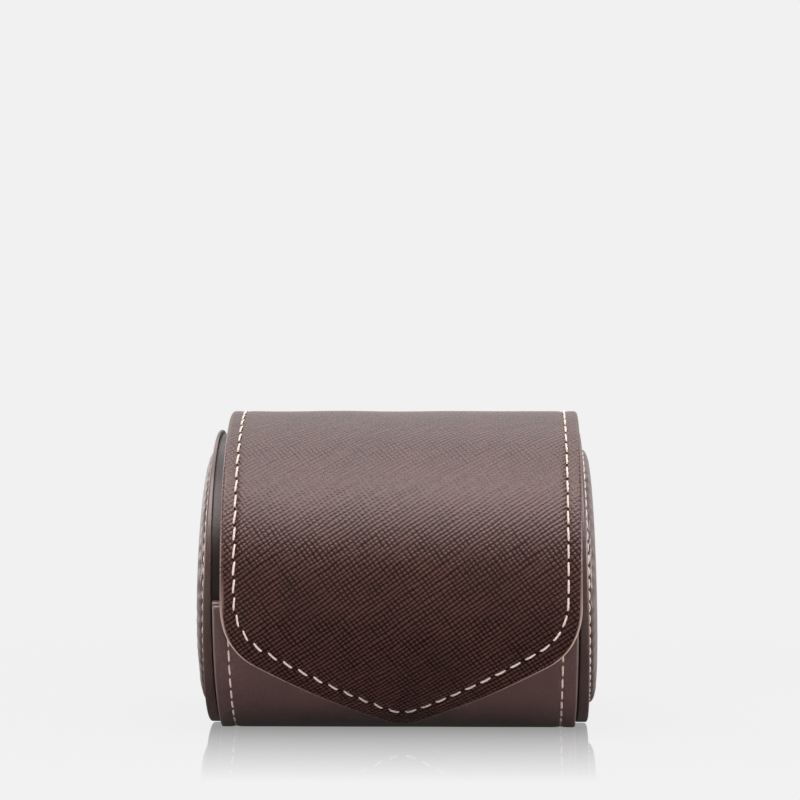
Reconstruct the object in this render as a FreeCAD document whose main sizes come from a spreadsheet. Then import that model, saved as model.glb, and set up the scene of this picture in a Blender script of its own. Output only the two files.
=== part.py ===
"""Watch storage case: a barrel of leather over board with padded ends, a wide flap and a cushion.

X runs along the barrel, the front is at -Y, and the case stands on Z = 0 under its barrel's axis.
Angles round the barrel are in degrees from the top: positive over the front, negative down the back.
"""
import FreeCAD, Part
import math
import os

import Sketcher

Vector = FreeCAD.Vector
Constraint = Sketcher.Constraint

DIMENSIONS = [
    ("wrap_radius", 38.5, "outside of the barrel's leather"),
    ("base_flattening", 1.6, "how much the flat base takes off the round"),
    ("wrap_width", 87.6, "length of the barrel along X"),
    ("wrap_leather", 1.2, "thickness of the barrel's leather"),
    ("former_board", 1.6, "thickness of the barrel's board"),
    ("body_suede", 0.7, "thickness of the barrel's lining"),
    ("lip_angle", 96.0, "top edge of the front wall"),
    ("lip_binding", 1.0, "thickness of the leather over the front lip"),
    ("flap_clearance", 0.3, "gap between barrel and flap"),
    ("flap_suede", 0.5, "thickness of the flap's lining"),
    ("flap_stiffener", 1.0, "thickness of the flap's board"),
    ("flap_leather", 1.0, "thickness of the flap's leather"),
    ("flap_inset", 1.2, "how much narrower the flap is than the barrel"),
    ("flap_shift", 1.4, "flap's middle to the right of the barrel's middle"),
    ("tip_angle", 148.2, "lowest point of the flap's tip"),
    ("tip_slope", 32.0, "slope of the two edges that meet at the tip"),
    ("tip_radius", 7.0, "rounding of the tip"),
    ("shoulder_radius", 17.0, "rounding where the sides turn into the tip"),
    ("trim_tilt", 40.2, "direction below level in which the flap's outline is cut"),
    ("hinge_angle", 30.0, "bending line, behind the top"),
    ("hinge_span", 12.0, "bare leather that bends"),
    ("tail_angle", 140.0, "lower edge of the flap's tail, behind the top"),
    ("magnet_angle", 130.0, "middle of the closing magnet"),
    ("magnet_span", 8.0, "height of the closing magnet, as an angle"),
    ("magnet_width", 20.0, "length of the closing magnet"),
    ("magnet_clearance", 0.15, "play of the magnet and the keeper in their windows"),
    ("keeper_plate", 0.8, "thickness of the steel keeper"),
    ("plug_clearance", 0.1, "play of the end plugs inside the barrel's board"),
    ("plug_depth", 2.5, "how far an end plug reaches into the barrel"),
    ("groove_width", 0.4, "groove between the barrel and the cap's border"),
    ("end_suede", 0.7, "thickness of the lining inside each end"),
    ("cap_inset", 1.9, "the cap's border from the barrel's outside"),
    ("cap_board", 1.15, "thickness of the cap's board at the barrel's axis"),
    ("cap_leather", 0.8, "thickness of the cap's leather"),
    ("cap_lean", 1.5, "how far the cap's face leans out towards its foot, in degrees"),
    ("border_width", 4.9, "flat border round the padded middle"),
    ("pad_rise", 2.6, "how far the padded middle stands out from the border"),
    ("pad_sag", 5.5, "how far the fullest point lies below the axis"),
    ("watch_room", 9.5, "how much smaller than the room the cushion is at its crown"),
    ("cushion_crown", 1.9, "how much thinner the cushion is at its ends"),
    ("cushion_end_gap", 0.4, "gap between the cushion and each end's lining"),
    ("cushion_suede", 0.8, "thickness of the cushion's sleeve"),
    ("cushion_end", 0.5, "thickness of the cushion's ends at their seam"),
    ("cushion_dome", 1.2, "how far the cushion's ends stand out"),
    ("cushion_clearance", 0.3, "gap under the cushion"),
    ("seam_margin", 3.4, "stitching from the flap's edge"),
    ("wrap_seam_margin", 3.7, "stitching from the barrel's edges"),
    ("tip_seam_margin", 5.8, "stitching from the flap's tip"),
    ("cap_seam", 0.8, "stitching outside the foot of the padded middle"),
    ("stitch_pitch", 4.2, "from one stitch to the next"),
    ("stitch_gap", 1.0, "leather between two stitches"),
    ("cap_stitch_pitch", 2.9, "from one stitch to the next round a cap"),
    ("thread_diameter", 0.7, "sewing thread"),
    ("thread_proud", 0.15, "how far a stitch stands out of the flap and its tail"),
    ("cap_thread_proud", 0.35, "how far a stitch stands out of a cap"),
]

# Sizes that follow from the others.
FOLLOWING = [
    ("axis_height", "wrap_radius - base_flattening", "barrel's axis above the table"),
    ("room_radius", "wrap_radius - wrap_leather - former_board - body_suede", "inside of the lining"),
    ("room_length", "wrap_width - 2 * (plug_depth + end_suede)", "between the two ends' linings"),
    ("flap_width", "wrap_width - flap_inset", "width of the flap"),
    ("cap_radius", "wrap_radius - cap_inset", "outside of the cap's border"),
    ("pad_radius", "cap_radius - border_width", "foot of the padded middle"),
    ("cushion_radius", "room_radius - watch_room", "cushion at its crown"),
    ("cushion_length", "room_length - 2 * (cushion_end_gap + cushion_dome + cushion_end)",
     "length of the cushion's sleeve"),
]

# A padded end swells like a quarter of a squarish ellipse, drawn as rings up to this angle of it.
PAD_RINGS = 11
PAD_LAST_ANGLE = 82.0
PAD_SQUARENESS = 4.6

# A cap's board is cut from a block this many times as thick, by a tool this many times as large.
BOARD_BLOCK = 3
CUT_OVERSIZE = 2

# A point this near the table, in millimetres, lies on the barrel's flat base.
ON_BASE = 1e-6

# A flap layer is drawn this much longer than its tip, in degrees, before its outline is cut.
TRIM_ALLOWANCE = 10.0

document = FreeCAD.newDocument("watch_storage_case")
sheet = document.addObject("Spreadsheet::Sheet", "Sizes")
for row, (alias, content, note) in enumerate(DIMENSIONS + FOLLOWING, start=1):
    sheet.set(f"A{row}", alias)
    sheet.set(f"B{row}", f"={content}")
    sheet.set(f"C{row}", note)
    sheet.setAlias(f"B{row}", alias)
document.recompute()


class Size:
    """A number worked out from the sheet, with the expression that binds to it."""

    def __init__(self, value, text):
        self.value = value
        self.text = text

    def __add__(self, other):
        return Size(self.value + as_size(other).value, f"({self.text} + {as_size(other).text})")

    def __sub__(self, other):
        return Size(self.value - as_size(other).value, f"({self.text} - {as_size(other).text})")

    def __mul__(self, other):
        return Size(self.value * as_size(other).value, f"({self.text} * {as_size(other).text})")

    def __truediv__(self, other):
        return Size(self.value / as_size(other).value, f"({self.text} / {as_size(other).text})")

    def sine(self):
        return Size(math.sin(math.radians(self.value)), f"sin({self.text} * 1 deg)")


def as_size(number):
    return number if isinstance(number, Size) else Size(float(number), str(float(number)))


def size(alias):
    return Size(float(sheet.get(alias)), f"Sizes.{alias}")


# Layers of the barrel, from the outside in.
axis_height = size("axis_height")
wrap_outer = size("wrap_radius")
former_outer = wrap_outer - size("wrap_leather")
lining_outer = former_outer - size("former_board")
room_radius = size("room_radius")
wrap_half = size("wrap_width") / 2
room_floor = size("wrap_leather") + size("former_board") + size("body_suede")

# Layers of the flap, from the inside out.
flap_lining_inner = wrap_outer + size("flap_clearance")
flap_board_inner = flap_lining_inner + size("flap_suede")
flap_leather_inner = flap_board_inner + size("flap_stiffener")
flap_outer = flap_leather_inner + size("flap_leather")
flap_width = size("flap_width")
flap_half = flap_width / 2

# Angles of the hinge strip's two edges and of the tail, as angles from the top.
flap_start = size("hinge_span") / 2 - size("hinge_angle")
barrel_end = as_size(0) - size("hinge_angle") - size("hinge_span") / 2
tail_end = as_size(0) - size("tail_angle")

# Places along X at each end, for the right-hand end.
plug_outer = wrap_half + size("groove_width")
plug_inner = wrap_half - size("plug_depth")
border_inner = plug_outer + size("cap_board")
border_outer = border_inner + size("cap_leather")

lining_inner = size("room_length") / 2
cap_radius = size("cap_radius")
pad_radius = size("pad_radius")

cushion_height = room_floor + size("cushion_clearance") + size("cushion_radius")

sub_parts = []


def bind(thing, prop, number):
    thing.setExpression(prop, number.text)


def new_body(label):
    """A body whose label names its file."""
    body = document.addObject("PartDesign::Body", label)
    body.Label = label
    sub_parts.append(body)
    return body


def new_sketch(body, plane, up, out=None, tilt=None):
    """A sketch on the body's own plane, raised by up, moved along its normal by out and tilted back."""
    sketch = body.newObject("Sketcher::SketchObject", "sketch")
    support = [item for item in body.Origin.OriginFeatures if item.Role == plane][0]
    sketch.AttachmentSupport = [(support, "")]
    sketch.MapMode = "FlatFace"
    if tilt is not None:
        turn = FreeCAD.Rotation(Vector(1, 0, 0), tilt.value)
        sketch.AttachmentOffset = FreeCAD.Placement(Vector(0, 0, 0), turn)
    bind(sketch, "AttachmentOffset.Base.y", up)
    if out is not None:
        bind(sketch, "AttachmentOffset.Base.z", out)
    return sketch


def dimension(sketch, constraint, number, angle=False):
    index = sketch.addConstraint(constraint)
    sketch.setExpression(f"Constraints[{index}]", f"({number.text}) * 1 deg" if angle else number.text)


def at(radius, angle):
    """Sketch point at a radius and an angle from the top."""
    turn = math.radians(angle + 90.0)
    return Vector(radius * math.cos(turn), radius * math.sin(turn), 0)


def arc(radius, start, end):
    """Arc about the sketch's origin between two angles from the top."""
    circle = Part.Circle(Vector(0, 0, 0), Vector(0, 0, 1), radius)
    return Part.ArcOfCircle(circle, math.radians(start + 90.0), math.radians(end + 90.0))


def join(sketch, pairs):
    for first, first_end, second, second_end in pairs:
        sketch.addConstraint(Constraint("Coincident", first, first_end, second, second_end))


def draw_sector(sketch, inner, outer, start, end):
    """Ring sector about the origin, with radial ends."""
    sketch.addGeometry(arc(outer.value, start.value, end.value))
    sketch.addGeometry(arc(inner.value, start.value, end.value))
    for angle in (start.value, end.value):
        sketch.addGeometry(Part.LineSegment(at(inner.value, angle), at(outer.value, angle)))
    join(sketch, [(0, 3, -1, 1), (1, 3, -1, 1), (2, 1, 1, 1), (2, 2, 0, 1), (3, 1, 1, 2), (3, 2, 0, 2)])
    for line in (2, 3):
        sketch.addConstraint(Constraint("PointOnObject", -1, 1, line))
    dimension(sketch, Constraint("Radius", 0, outer.value), outer)
    dimension(sketch, Constraint("Radius", 1, inner.value), inner)
    for line, angle in ((2, start), (3, end)):
        turned = angle + 90
        dimension(sketch, Constraint("Angle", line, math.radians(turned.value)), turned, angle=True)


def flat_angle(radius, floor):
    """Angle from the top at which a circle meets the flat at a height above the table."""
    return 180.0 - math.degrees(math.acos((axis_height.value - floor.value) / radius.value))


def draw_trough(sketch, inner, outer, inner_floor, outer_floor, start, end):
    """Ring about the origin, open from end to start over the top, with a flat base."""
    outer_meet = flat_angle(outer, outer_floor)
    inner_meet = flat_angle(inner, inner_floor)
    last = end.value + 360.0
    sketch.addGeometry(arc(outer.value, start.value, outer_meet))
    sketch.addGeometry(Part.LineSegment(at(outer.value, outer_meet), at(outer.value, 360.0 - outer_meet)))
    sketch.addGeometry(arc(outer.value, 360.0 - outer_meet, last))
    sketch.addGeometry(Part.LineSegment(at(inner.value, last), at(outer.value, last)))
    sketch.addGeometry(arc(inner.value, 360.0 - inner_meet, last))
    sketch.addGeometry(Part.LineSegment(at(inner.value, inner_meet), at(inner.value, 360.0 - inner_meet)))
    sketch.addGeometry(arc(inner.value, start.value, inner_meet))
    sketch.addGeometry(Part.LineSegment(at(inner.value, start.value), at(outer.value, start.value)))
    join(sketch, [(0, 2, 1, 1), (1, 2, 2, 1), (2, 2, 3, 2), (3, 1, 4, 2)])
    join(sketch, [(4, 1, 5, 2), (5, 1, 6, 2), (6, 1, 7, 1), (7, 2, 0, 1)])
    join(sketch, [(number, 3, -1, 1) for number in (0, 2, 4, 6)])
    sketch.addConstraint(Constraint("Equal", 0, 2))
    sketch.addConstraint(Constraint("Equal", 6, 4))
    dimension(sketch, Constraint("Radius", 0, outer.value), outer)
    dimension(sketch, Constraint("Radius", 6, inner.value), inner)
    for line, floor in ((1, outer_floor), (5, inner_floor)):
        depth = axis_height - floor
        sketch.addConstraint(Constraint("Horizontal", line))
        dimension(sketch, Constraint("DistanceY", line, 1, -1, 1, depth.value), depth)
    for line, angle in ((3, end), (7, start)):
        turned = angle + 90
        sketch.addConstraint(Constraint("PointOnObject", -1, 1, line))
        dimension(sketch, Constraint("Angle", line, math.radians(turned.value)), turned, angle=True)


def draw_flat_disc(sketch, radius, floor):
    """Disc about the origin with a flat base."""
    meet = flat_angle(radius, floor)
    sketch.addGeometry(arc(radius.value, -meet, meet))
    sketch.addGeometry(Part.LineSegment(at(radius.value, meet), at(radius.value, -meet)))
    join(sketch, [(0, 3, -1, 1), (0, 2, 1, 1), (0, 1, 1, 2)])
    dimension(sketch, Constraint("Radius", 0, radius.value), radius)
    depth = axis_height - floor
    sketch.addConstraint(Constraint("Horizontal", 1))
    dimension(sketch, Constraint("DistanceY", 1, 1, -1, 1, depth.value), depth)


def draw_circle(sketch, radius, drop=None):
    """Circle on the sketch's vertical axis, at the origin or lowered by drop."""
    low = drop.value if drop else 0.0
    sketch.addGeometry(Part.Circle(Vector(0, -low, 0), Vector(0, 0, 1), radius.value))
    dimension(sketch, Constraint("Radius", 0, radius.value), radius)
    if drop is None:
        join(sketch, [(0, 3, -1, 1)])
    else:
        sketch.addConstraint(Constraint("PointOnObject", 0, 3, -2))
        dimension(sketch, Constraint("DistanceY", 0, 3, -1, 1, low), drop)


def pad(body, sketch, length, symmetric=True):
    """Thicken a sketch, evenly to both sides or along its normal."""
    feature = body.newObject("PartDesign::Pad", "pad")
    feature.Profile = sketch
    feature.SideType = "Symmetric" if symmetric else "One side"
    bind(feature, "Length", length)


def pocket(body, sketch, length, symmetric=True):
    """Cut a sketch out, evenly to both sides or along its normal."""
    feature = body.newObject("PartDesign::Pocket", "pocket")
    feature.Profile = sketch
    feature.SideType = "Symmetric" if symmetric else "One side"
    feature.Reversed = not symmetric
    bind(feature, "Length", length)


def revolve(body, sketch):
    """Turn a sketch about its own horizontal axis."""
    feature = body.newObject("PartDesign::Revolution", "revolution")
    feature.Profile = sketch
    feature.ReferenceAxis = (sketch, ["H_Axis"])
    feature.Angle = 360.0


def turn_to_left(body):
    """A left-hand piece is the right-hand one turned half round about the upright axis."""
    half_turn = FreeCAD.Placement(Vector(0, 0, 0), FreeCAD.Rotation(Vector(0, 0, 1), 180.0))
    body.Placement = half_turn * body.Placement


def lean_out(body):
    """Lean a piece of a cap outwards at its foot, about the middle of the board's face."""
    turn = FreeCAD.Rotation(Vector(0, 1, 0), -size("cap_lean").value)
    middle = Vector(border_inner.value, 0, axis_height.value)
    body.Placement = FreeCAD.Placement(middle - turn.multVec(middle), turn)


def make_trough(label, inner, outer, inner_floor, outer_floor, start, width):
    """One layer of the barrel, open at the top."""
    body = new_body(label)
    sketch = new_sketch(body, "YZ_Plane", axis_height)
    draw_trough(sketch, inner, outer, inner_floor, outer_floor, start, barrel_end)
    pad(body, sketch, width)
    return body


def make_sector(label, inner, outer, start, end, width, shift=None):
    """One curved layer that follows the barrel."""
    body = new_body(label)
    sketch = new_sketch(body, "YZ_Plane", axis_height, out=shift)
    draw_sector(sketch, inner, outer, start, end)
    pad(body, sketch, width)
    return body


def cut_sector(body, inner, outer, start, end, width, shift=None):
    """A curved window through a layer."""
    sketch = new_sketch(body, "YZ_Plane", axis_height, out=shift)
    draw_sector(sketch, inner, outer, start, end)
    pocket(body, sketch, width)


class TipOutline:
    """The flap's outline near its tip: straight sides, round shoulders, two slopes and a round tip.

    It lies in the plane across the cutting direction, with X across and Y up from the barrel's axis.
    """

    def __init__(self, half_width, low, shoulder, tip):
        slope = math.radians(size("tip_slope").value)
        self.half_width = half_width
        self.shoulder = shoulder
        self.tip = tip
        self.lean = slope
        self.tip_centre = Vector(0, low + tip, 0)
        self.tip_end = self.tip_centre + Vector(math.sin(slope), -math.cos(slope), 0) * tip
        reach = half_width - shoulder + shoulder * math.sin(slope) - self.tip_end.x
        self.slope_end = self.tip_end + Vector(reach, reach * math.tan(slope), 0)
        self.shoulder_centre = self.slope_end + Vector(-math.sin(slope), math.cos(slope), 0) * shoulder
        self.side_end = Vector(half_width, self.shoulder_centre.y, 0)

    def points(self, steps=24):
        """Points from the left shoulder round the tip to the right shoulder."""
        right = []
        for step in range(steps + 1):
            turn = self.lean * step / steps
            right.append(self.tip_centre + Vector(math.sin(turn), -math.cos(turn), 0) * self.tip)
        for step in range(1, steps):
            right.append(self.tip_end + (self.slope_end - self.tip_end) * (step / steps))
        for step in range(steps + 1):
            turn = self.lean + (math.pi / 2 - self.lean) * step / steps
            right.append(self.shoulder_centre + Vector(math.sin(turn), -math.cos(turn), 0) * self.shoulder)
        left = [Vector(-point.x, point.y, 0) for point in reversed(right[1:])]
        return left + right


def tip_low(margin=0.0):
    """Height of the tip's lowest point in the cutting plane, on the flap's outside."""
    low_angle = size("tip_angle") - 90 - size("trim_tilt")
    return as_size(margin) - flap_outer * low_angle.sine()


def mirrored(point):
    return Vector(-point.x, point.y, 0)


def round_arc(centre, first, last):
    """Counterclockwise arc about a centre from one point to another."""
    start = math.atan2(first.y - centre.y, first.x - centre.x)
    end = math.atan2(last.y - centre.y, last.x - centre.x)
    return Part.ArcOfCircle(Part.Circle(centre, Vector(0, 0, 1), (first - centre).Length), start, end)


def trim_tip(body):
    """Cut away what lies outside the flap's outline, from the barrel's axis outwards."""
    sketch = new_sketch(body, "XZ_Plane", axis_height, tilt=size("trim_tilt"))
    bind(sketch, "AttachmentOffset.Base.x", size("flap_shift"))
    low = tip_low()
    shape = TipOutline(flap_half.value, low.value, size("shoulder_radius").value, size("tip_radius").value)
    left_side, left_slope, left_tip = [mirrored(p) for p in (shape.side_end, shape.slope_end, shape.tip_end)]
    far = flap_half.value + shape.shoulder
    corners = [Vector(far, shape.side_end.y, 0), Vector(far, -far, 0)]
    sketch.addGeometry(round_arc(shape.shoulder_centre, shape.slope_end, shape.side_end))
    sketch.addGeometry(Part.LineSegment(shape.tip_end, shape.slope_end))
    sketch.addGeometry(round_arc(shape.tip_centre, left_tip, shape.tip_end))
    sketch.addGeometry(Part.LineSegment(left_slope, left_tip))
    sketch.addGeometry(round_arc(mirrored(shape.shoulder_centre), left_side, left_slope))
    sketch.addGeometry(Part.LineSegment(left_side, mirrored(corners[0])))
    sketch.addGeometry(Part.LineSegment(mirrored(corners[0]), mirrored(corners[1])))
    sketch.addGeometry(Part.LineSegment(mirrored(corners[1]), corners[1]))
    sketch.addGeometry(Part.LineSegment(corners[1], corners[0]))
    sketch.addGeometry(Part.LineSegment(corners[0], shape.side_end))
    join(sketch, [(4, 1, 5, 1), (5, 2, 6, 1), (6, 2, 7, 1), (7, 2, 8, 1), (8, 2, 9, 1), (9, 2, 0, 2)])
    for first, first_end, second, second_end in ((0, 1, 1, 2), (1, 1, 2, 2), (2, 1, 3, 2), (3, 1, 4, 2)):
        sketch.addConstraint(Constraint("Tangent", first, first_end, second, second_end))
    for line in (5, 9):
        sketch.addConstraint(Constraint("Horizontal", line))
    for line in (6, 8):
        sketch.addConstraint(Constraint("Vertical", line))
    for line in (5, 9):
        arc_number = 4 if line == 5 else 0
        sketch.addConstraint(Constraint("PointOnObject", arc_number, 3, line))
    sketch.addConstraint(Constraint("PointOnObject", 2, 3, -2))
    sketch.addConstraint(Constraint("Symmetric", 1, 2, 3, 1, -2))
    sketch.addConstraint(Constraint("Symmetric", 7, 1, 7, 2, -2))
    sketch.addConstraint(Constraint("Equal", 0, 4))
    tip_depth = as_size(0) - low - size("tip_radius")
    dimension(sketch, Constraint("DistanceY", 2, 3, -1, 1, tip_depth.value), tip_depth)
    dimension(sketch, Constraint("Radius", 2, shape.tip), size("tip_radius"))
    dimension(sketch, Constraint("Radius", 0, shape.shoulder), size("shoulder_radius"))
    dimension(sketch, Constraint("Angle", 1, shape.lean), size("tip_slope"), angle=True)
    dimension(sketch, Constraint("DistanceX", -1, 1, 0, 2, flap_half.value), flap_half)
    reach = flap_half + size("shoulder_radius")
    dimension(sketch, Constraint("DistanceX", -1, 1, 8, 1, reach.value), reach)
    dimension(sketch, Constraint("DistanceY", 8, 1, -1, 1, reach.value), reach)
    pocket(body, sketch, flap_outer * 2, symmetric=False)


def make_flap_layer(label, inner, outer):
    """One layer of the flap, from the hinge strip to the tip."""
    body = make_sector(label, inner, outer, flap_start, size("tip_angle") + TRIM_ALLOWANCE, flap_width,
                       size("flap_shift"))
    trim_tip(body)
    return body


def make_disc(label, radius, floor, start, end):
    """A disc with a flat base across one end of the barrel."""
    body = new_body(label)
    sketch = new_sketch(body, "YZ_Plane", axis_height, out=start)
    draw_flat_disc(sketch, radius, floor)
    pad(body, sketch, end - start, symmetric=False)
    return body


def make_cap_disc(label, radius, start, end):
    """A round disc across one end, of a cap's leather or pad."""
    body = new_body(label)
    sketch = new_sketch(body, "YZ_Plane", axis_height, out=start)
    draw_circle(sketch, radius)
    pad(body, sketch, end - start, symmetric=False)
    return body


def make_cap_board(label):
    """The cap's board: upright towards the barrel, and leaning under the leather."""
    body = new_body(label)
    sketch = new_sketch(body, "YZ_Plane", axis_height, out=plug_outer)
    draw_circle(sketch, cap_radius)
    thickest = size("cap_board") * BOARD_BLOCK
    pad(body, sketch, thickest, symmetric=False)
    sketch = new_sketch(body, "YZ_Plane", axis_height, out=border_inner, tilt=as_size(0) - size("cap_lean"))
    draw_circle(sketch, wrap_outer * CUT_OVERSIZE)
    pocket(body, sketch, thickest * CUT_OVERSIZE, symmetric=False)
    return body


def loft_pad(body, kind, foot, base, rise):
    """The padded middle of a cap: rings that close in as they rise and sink towards its fullest point."""
    rings = []
    for number in range(PAD_RINGS):
        angle = math.radians(PAD_LAST_ANGLE) * number / (PAD_RINGS - 1)
        power = 2.0 / PAD_SQUARENESS
        radius_share = math.cos(angle) ** power
        rise_share = (math.sin(angle) / math.sin(math.radians(PAD_LAST_ANGLE))) ** power
        sketch = new_sketch(body, "YZ_Plane", axis_height, out=base + rise * rise_share)
        draw_circle(sketch, foot * radius_share, size("pad_sag") * (1.0 - radius_share))
        rings.append(sketch)
    feature = body.newObject(kind, "loft")
    feature.Profile = rings[0]
    feature.Sections = rings[1:]
    feature.Ruled = True


def make_cap_leather(label):
    """A cap's cover: a flat border and the padded middle, hollow underneath."""
    body = make_cap_disc(label, cap_radius, border_inner, border_outer)
    loft_pad(body, "PartDesign::AdditiveLoft", pad_radius, border_outer, size("pad_rise"))
    inner_foot = pad_radius - size("cap_leather")
    sketch = new_sketch(body, "YZ_Plane", axis_height, out=border_inner)
    draw_circle(sketch, inner_foot)
    pocket(body, sketch, size("cap_leather"), symmetric=False)
    inner_rise = size("pad_rise") - size("cap_leather")
    loft_pad(body, "PartDesign::SubtractiveLoft", inner_foot, border_outer, inner_rise)
    lean_out(body)
    return body


def make_cap_pad(label):
    """The foam that fills a cap's cover."""
    foot = pad_radius - size("cap_leather")
    body = make_cap_disc(label, foot, border_inner, border_outer)
    loft_pad(body, "PartDesign::AdditiveLoft", foot, border_outer, size("pad_rise") - size("cap_leather"))
    lean_out(body)
    return body


def draw_crown(sketch, half, middle, edge, number):
    """Arc over the cushion, highest in its middle, as the sketch's piece with this number."""
    rise = middle - edge
    radius = (half * half / rise + rise) / 2
    bend = (half.value ** 2 / rise.value + rise.value) / 2
    reach = math.asin(half.value / bend)
    circle = Part.Circle(Vector(0, middle.value - bend, 0), Vector(0, 0, 1), bend)
    sketch.addGeometry(Part.ArcOfCircle(circle, math.pi / 2 - reach, math.pi / 2 + reach))
    sketch.addConstraint(Constraint("Symmetric", number, 1, number, 2, -2))
    dimension(sketch, Constraint("DistanceX", -1, 1, number, 1, half.value), half)
    dimension(sketch, Constraint("DistanceY", -1, 1, number, 1, edge.value), edge)
    dimension(sketch, Constraint("Radius", number, bend), radius)


def make_cushion():
    """The watch cushion: a foam core in a suede sleeve, crowned, with a sewn end at each side."""
    half = size("cushion_length") / 2
    crown = size("cushion_radius")
    edge = crown - size("cushion_crown")
    core_crown = crown - size("cushion_suede")
    core_edge = edge - size("cushion_suede")

    core = new_body("cushion_core")
    sketch = new_sketch(core, "XZ_Plane", cushion_height)
    draw_crown(sketch, half, core_crown, core_edge, 0)
    left, right = Vector(-half.value, 0, 0), Vector(half.value, 0, 0)
    sketch.addGeometry(Part.LineSegment(left, right))
    sketch.addGeometry(Part.LineSegment(left, left + Vector(0, core_edge.value, 0)))
    sketch.addGeometry(Part.LineSegment(right, right + Vector(0, core_edge.value, 0)))
    join(sketch, [(2, 2, 0, 2), (3, 2, 0, 1), (1, 1, 2, 1), (1, 2, 3, 1)])
    for line in (2, 3):
        sketch.addConstraint(Constraint("Vertical", line))
        sketch.addConstraint(Constraint("PointOnObject", line, 1, -1))
    revolve(core, sketch)

    sleeve = new_body("cushion_sleeve")
    sketch = new_sketch(sleeve, "XZ_Plane", cushion_height)
    draw_crown(sketch, half, crown, edge, 0)
    draw_crown(sketch, half, core_crown, core_edge, 1)
    for side in (left, right):
        low = side + Vector(0, core_edge.value, 0)
        sketch.addGeometry(Part.LineSegment(low, side + Vector(0, edge.value, 0)))
    join(sketch, [(2, 1, 1, 2), (2, 2, 0, 2), (3, 1, 1, 1), (3, 2, 0, 1)])
    revolve(sleeve, sketch)

    for label in ("right_cushion_end", "left_cushion_end"):
        make_cushion_end(label, half, edge)


def make_cushion_end(label, half, edge):
    """A sewn end: a disc that stands out in its middle."""
    body = new_body(label)
    sketch = new_sketch(body, "XZ_Plane", cushion_height)
    seam = half + size("cushion_end")
    peak = seam + size("cushion_dome")
    rise = size("cushion_dome")
    radius = (edge * edge / rise + rise) / 2
    bend = (edge.value ** 2 / rise.value + rise.value) / 2
    centre = Vector(peak.value - bend, 0, 0)
    top = math.asin(edge.value / bend)
    sketch.addGeometry(Part.LineSegment(Vector(half.value, 0, 0), Vector(peak.value, 0, 0)))
    sketch.addGeometry(Part.ArcOfCircle(Part.Circle(centre, Vector(0, 0, 1), bend), 0.0, top))
    corners = [Vector(seam.value, edge.value, 0), Vector(half.value, edge.value, 0), Vector(half.value, 0, 0)]
    sketch.addGeometry(Part.LineSegment(corners[0], corners[1]))
    sketch.addGeometry(Part.LineSegment(corners[1], corners[2]))
    join(sketch, [(0, 2, 1, 1), (1, 2, 2, 1), (2, 2, 3, 1), (3, 2, 0, 1)])
    sketch.addConstraint(Constraint("PointOnObject", 1, 3, -1))
    sketch.addConstraint(Constraint("PointOnObject", 0, 1, -1))
    sketch.addConstraint(Constraint("Horizontal", 0))
    sketch.addConstraint(Constraint("Horizontal", 2))
    sketch.addConstraint(Constraint("Vertical", 3))
    dimension(sketch, Constraint("DistanceX", -1, 1, 3, 1, half.value), half)
    dimension(sketch, Constraint("DistanceX", -1, 1, 1, 2, seam.value), seam)
    dimension(sketch, Constraint("DistanceY", -1, 1, 3, 1, edge.value), edge)
    dimension(sketch, Constraint("Radius", 1, bend), radius)
    revolve(body, sketch)
    if label.startswith("left"):
        turn_to_left(body)


def on_barrel(across, radius, angle):
    """Point on a circle round the barrel's axis."""
    turn = math.radians(angle)
    return Vector(across, -radius * math.sin(turn), axis_height.value + radius * math.cos(turn))


def barrel_normal(point):
    """Direction straight out of the barrel at a point."""
    out = Vector(0, point.y, point.z - axis_height.value)
    return out / out.Length


def stitches(points, normal, proud, pitch="stitch_pitch"):
    """Straight stitches at an even pitch along a line of points, sunk into the leather."""
    radius = size("thread_diameter").value / 2
    lengths = [0.0]
    for first, second in zip(points, points[1:]):
        lengths.append(lengths[-1] + (second - first).Length)
    count = max(1, round(lengths[-1] / size(pitch).value))
    step = lengths[-1] / count
    gap = size("stitch_gap").value

    def place(distance):
        index = 1
        while index < len(points) - 1 and lengths[index] < distance:
            index += 1
        share = (distance - lengths[index - 1]) / (lengths[index] - lengths[index - 1])
        point = points[index - 1] + (points[index] - points[index - 1]) * share
        return point + normal(point) * (proud - radius)

    made = []
    for number in range(count):
        first = place(number * step + gap / 2)
        last = place((number + 1) * step - gap / 2)
        made.append(Part.makeCylinder(radius, (last - first).Length, first, last - first))
    return made


def make_thread(label, solids):
    """A seam's stitches as one group of solids."""
    feature = document.addObject("Part::Feature", label)
    feature.Label = label
    feature.Shape = Part.makeCompound(solids)
    sub_parts.append(feature)


def arc_points(across, radius, start, end):
    """Points along the barrel at one place across it, about a millimetre apart."""
    steps = max(2, round(abs(end - start) * math.radians(radius)))
    return [on_barrel(across, radius, start + (end - start) * step / steps) for step in range(steps + 1)]


def make_flap_thread():
    """Stitching along the flap's sides and round its tip."""
    margin = size("seam_margin").value
    outer = flap_outer.value
    shift = size("flap_shift").value
    low = tip_low(size("tip_seam_margin")).value
    seam = TipOutline(flap_half.value - margin, low, size("shoulder_radius").value - margin,
                      size("tip_radius").value)
    tip = []
    for point in seam.points():
        angle = 90.0 + size("trim_tilt").value - math.degrees(math.asin(point.y / outer))
        tip.append((point.x, angle))
    first_angle = flap_start.value
    side = seam.half_width
    points = arc_points(shift - side, outer, first_angle, tip[0][1])[:-1]
    points += [on_barrel(shift + across, outer, angle) for across, angle in tip]
    points += arc_points(shift + side, outer, tip[-1][1], first_angle)[1:]
    make_thread("flap_thread", stitches(points, barrel_normal, size("thread_proud").value))


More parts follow.
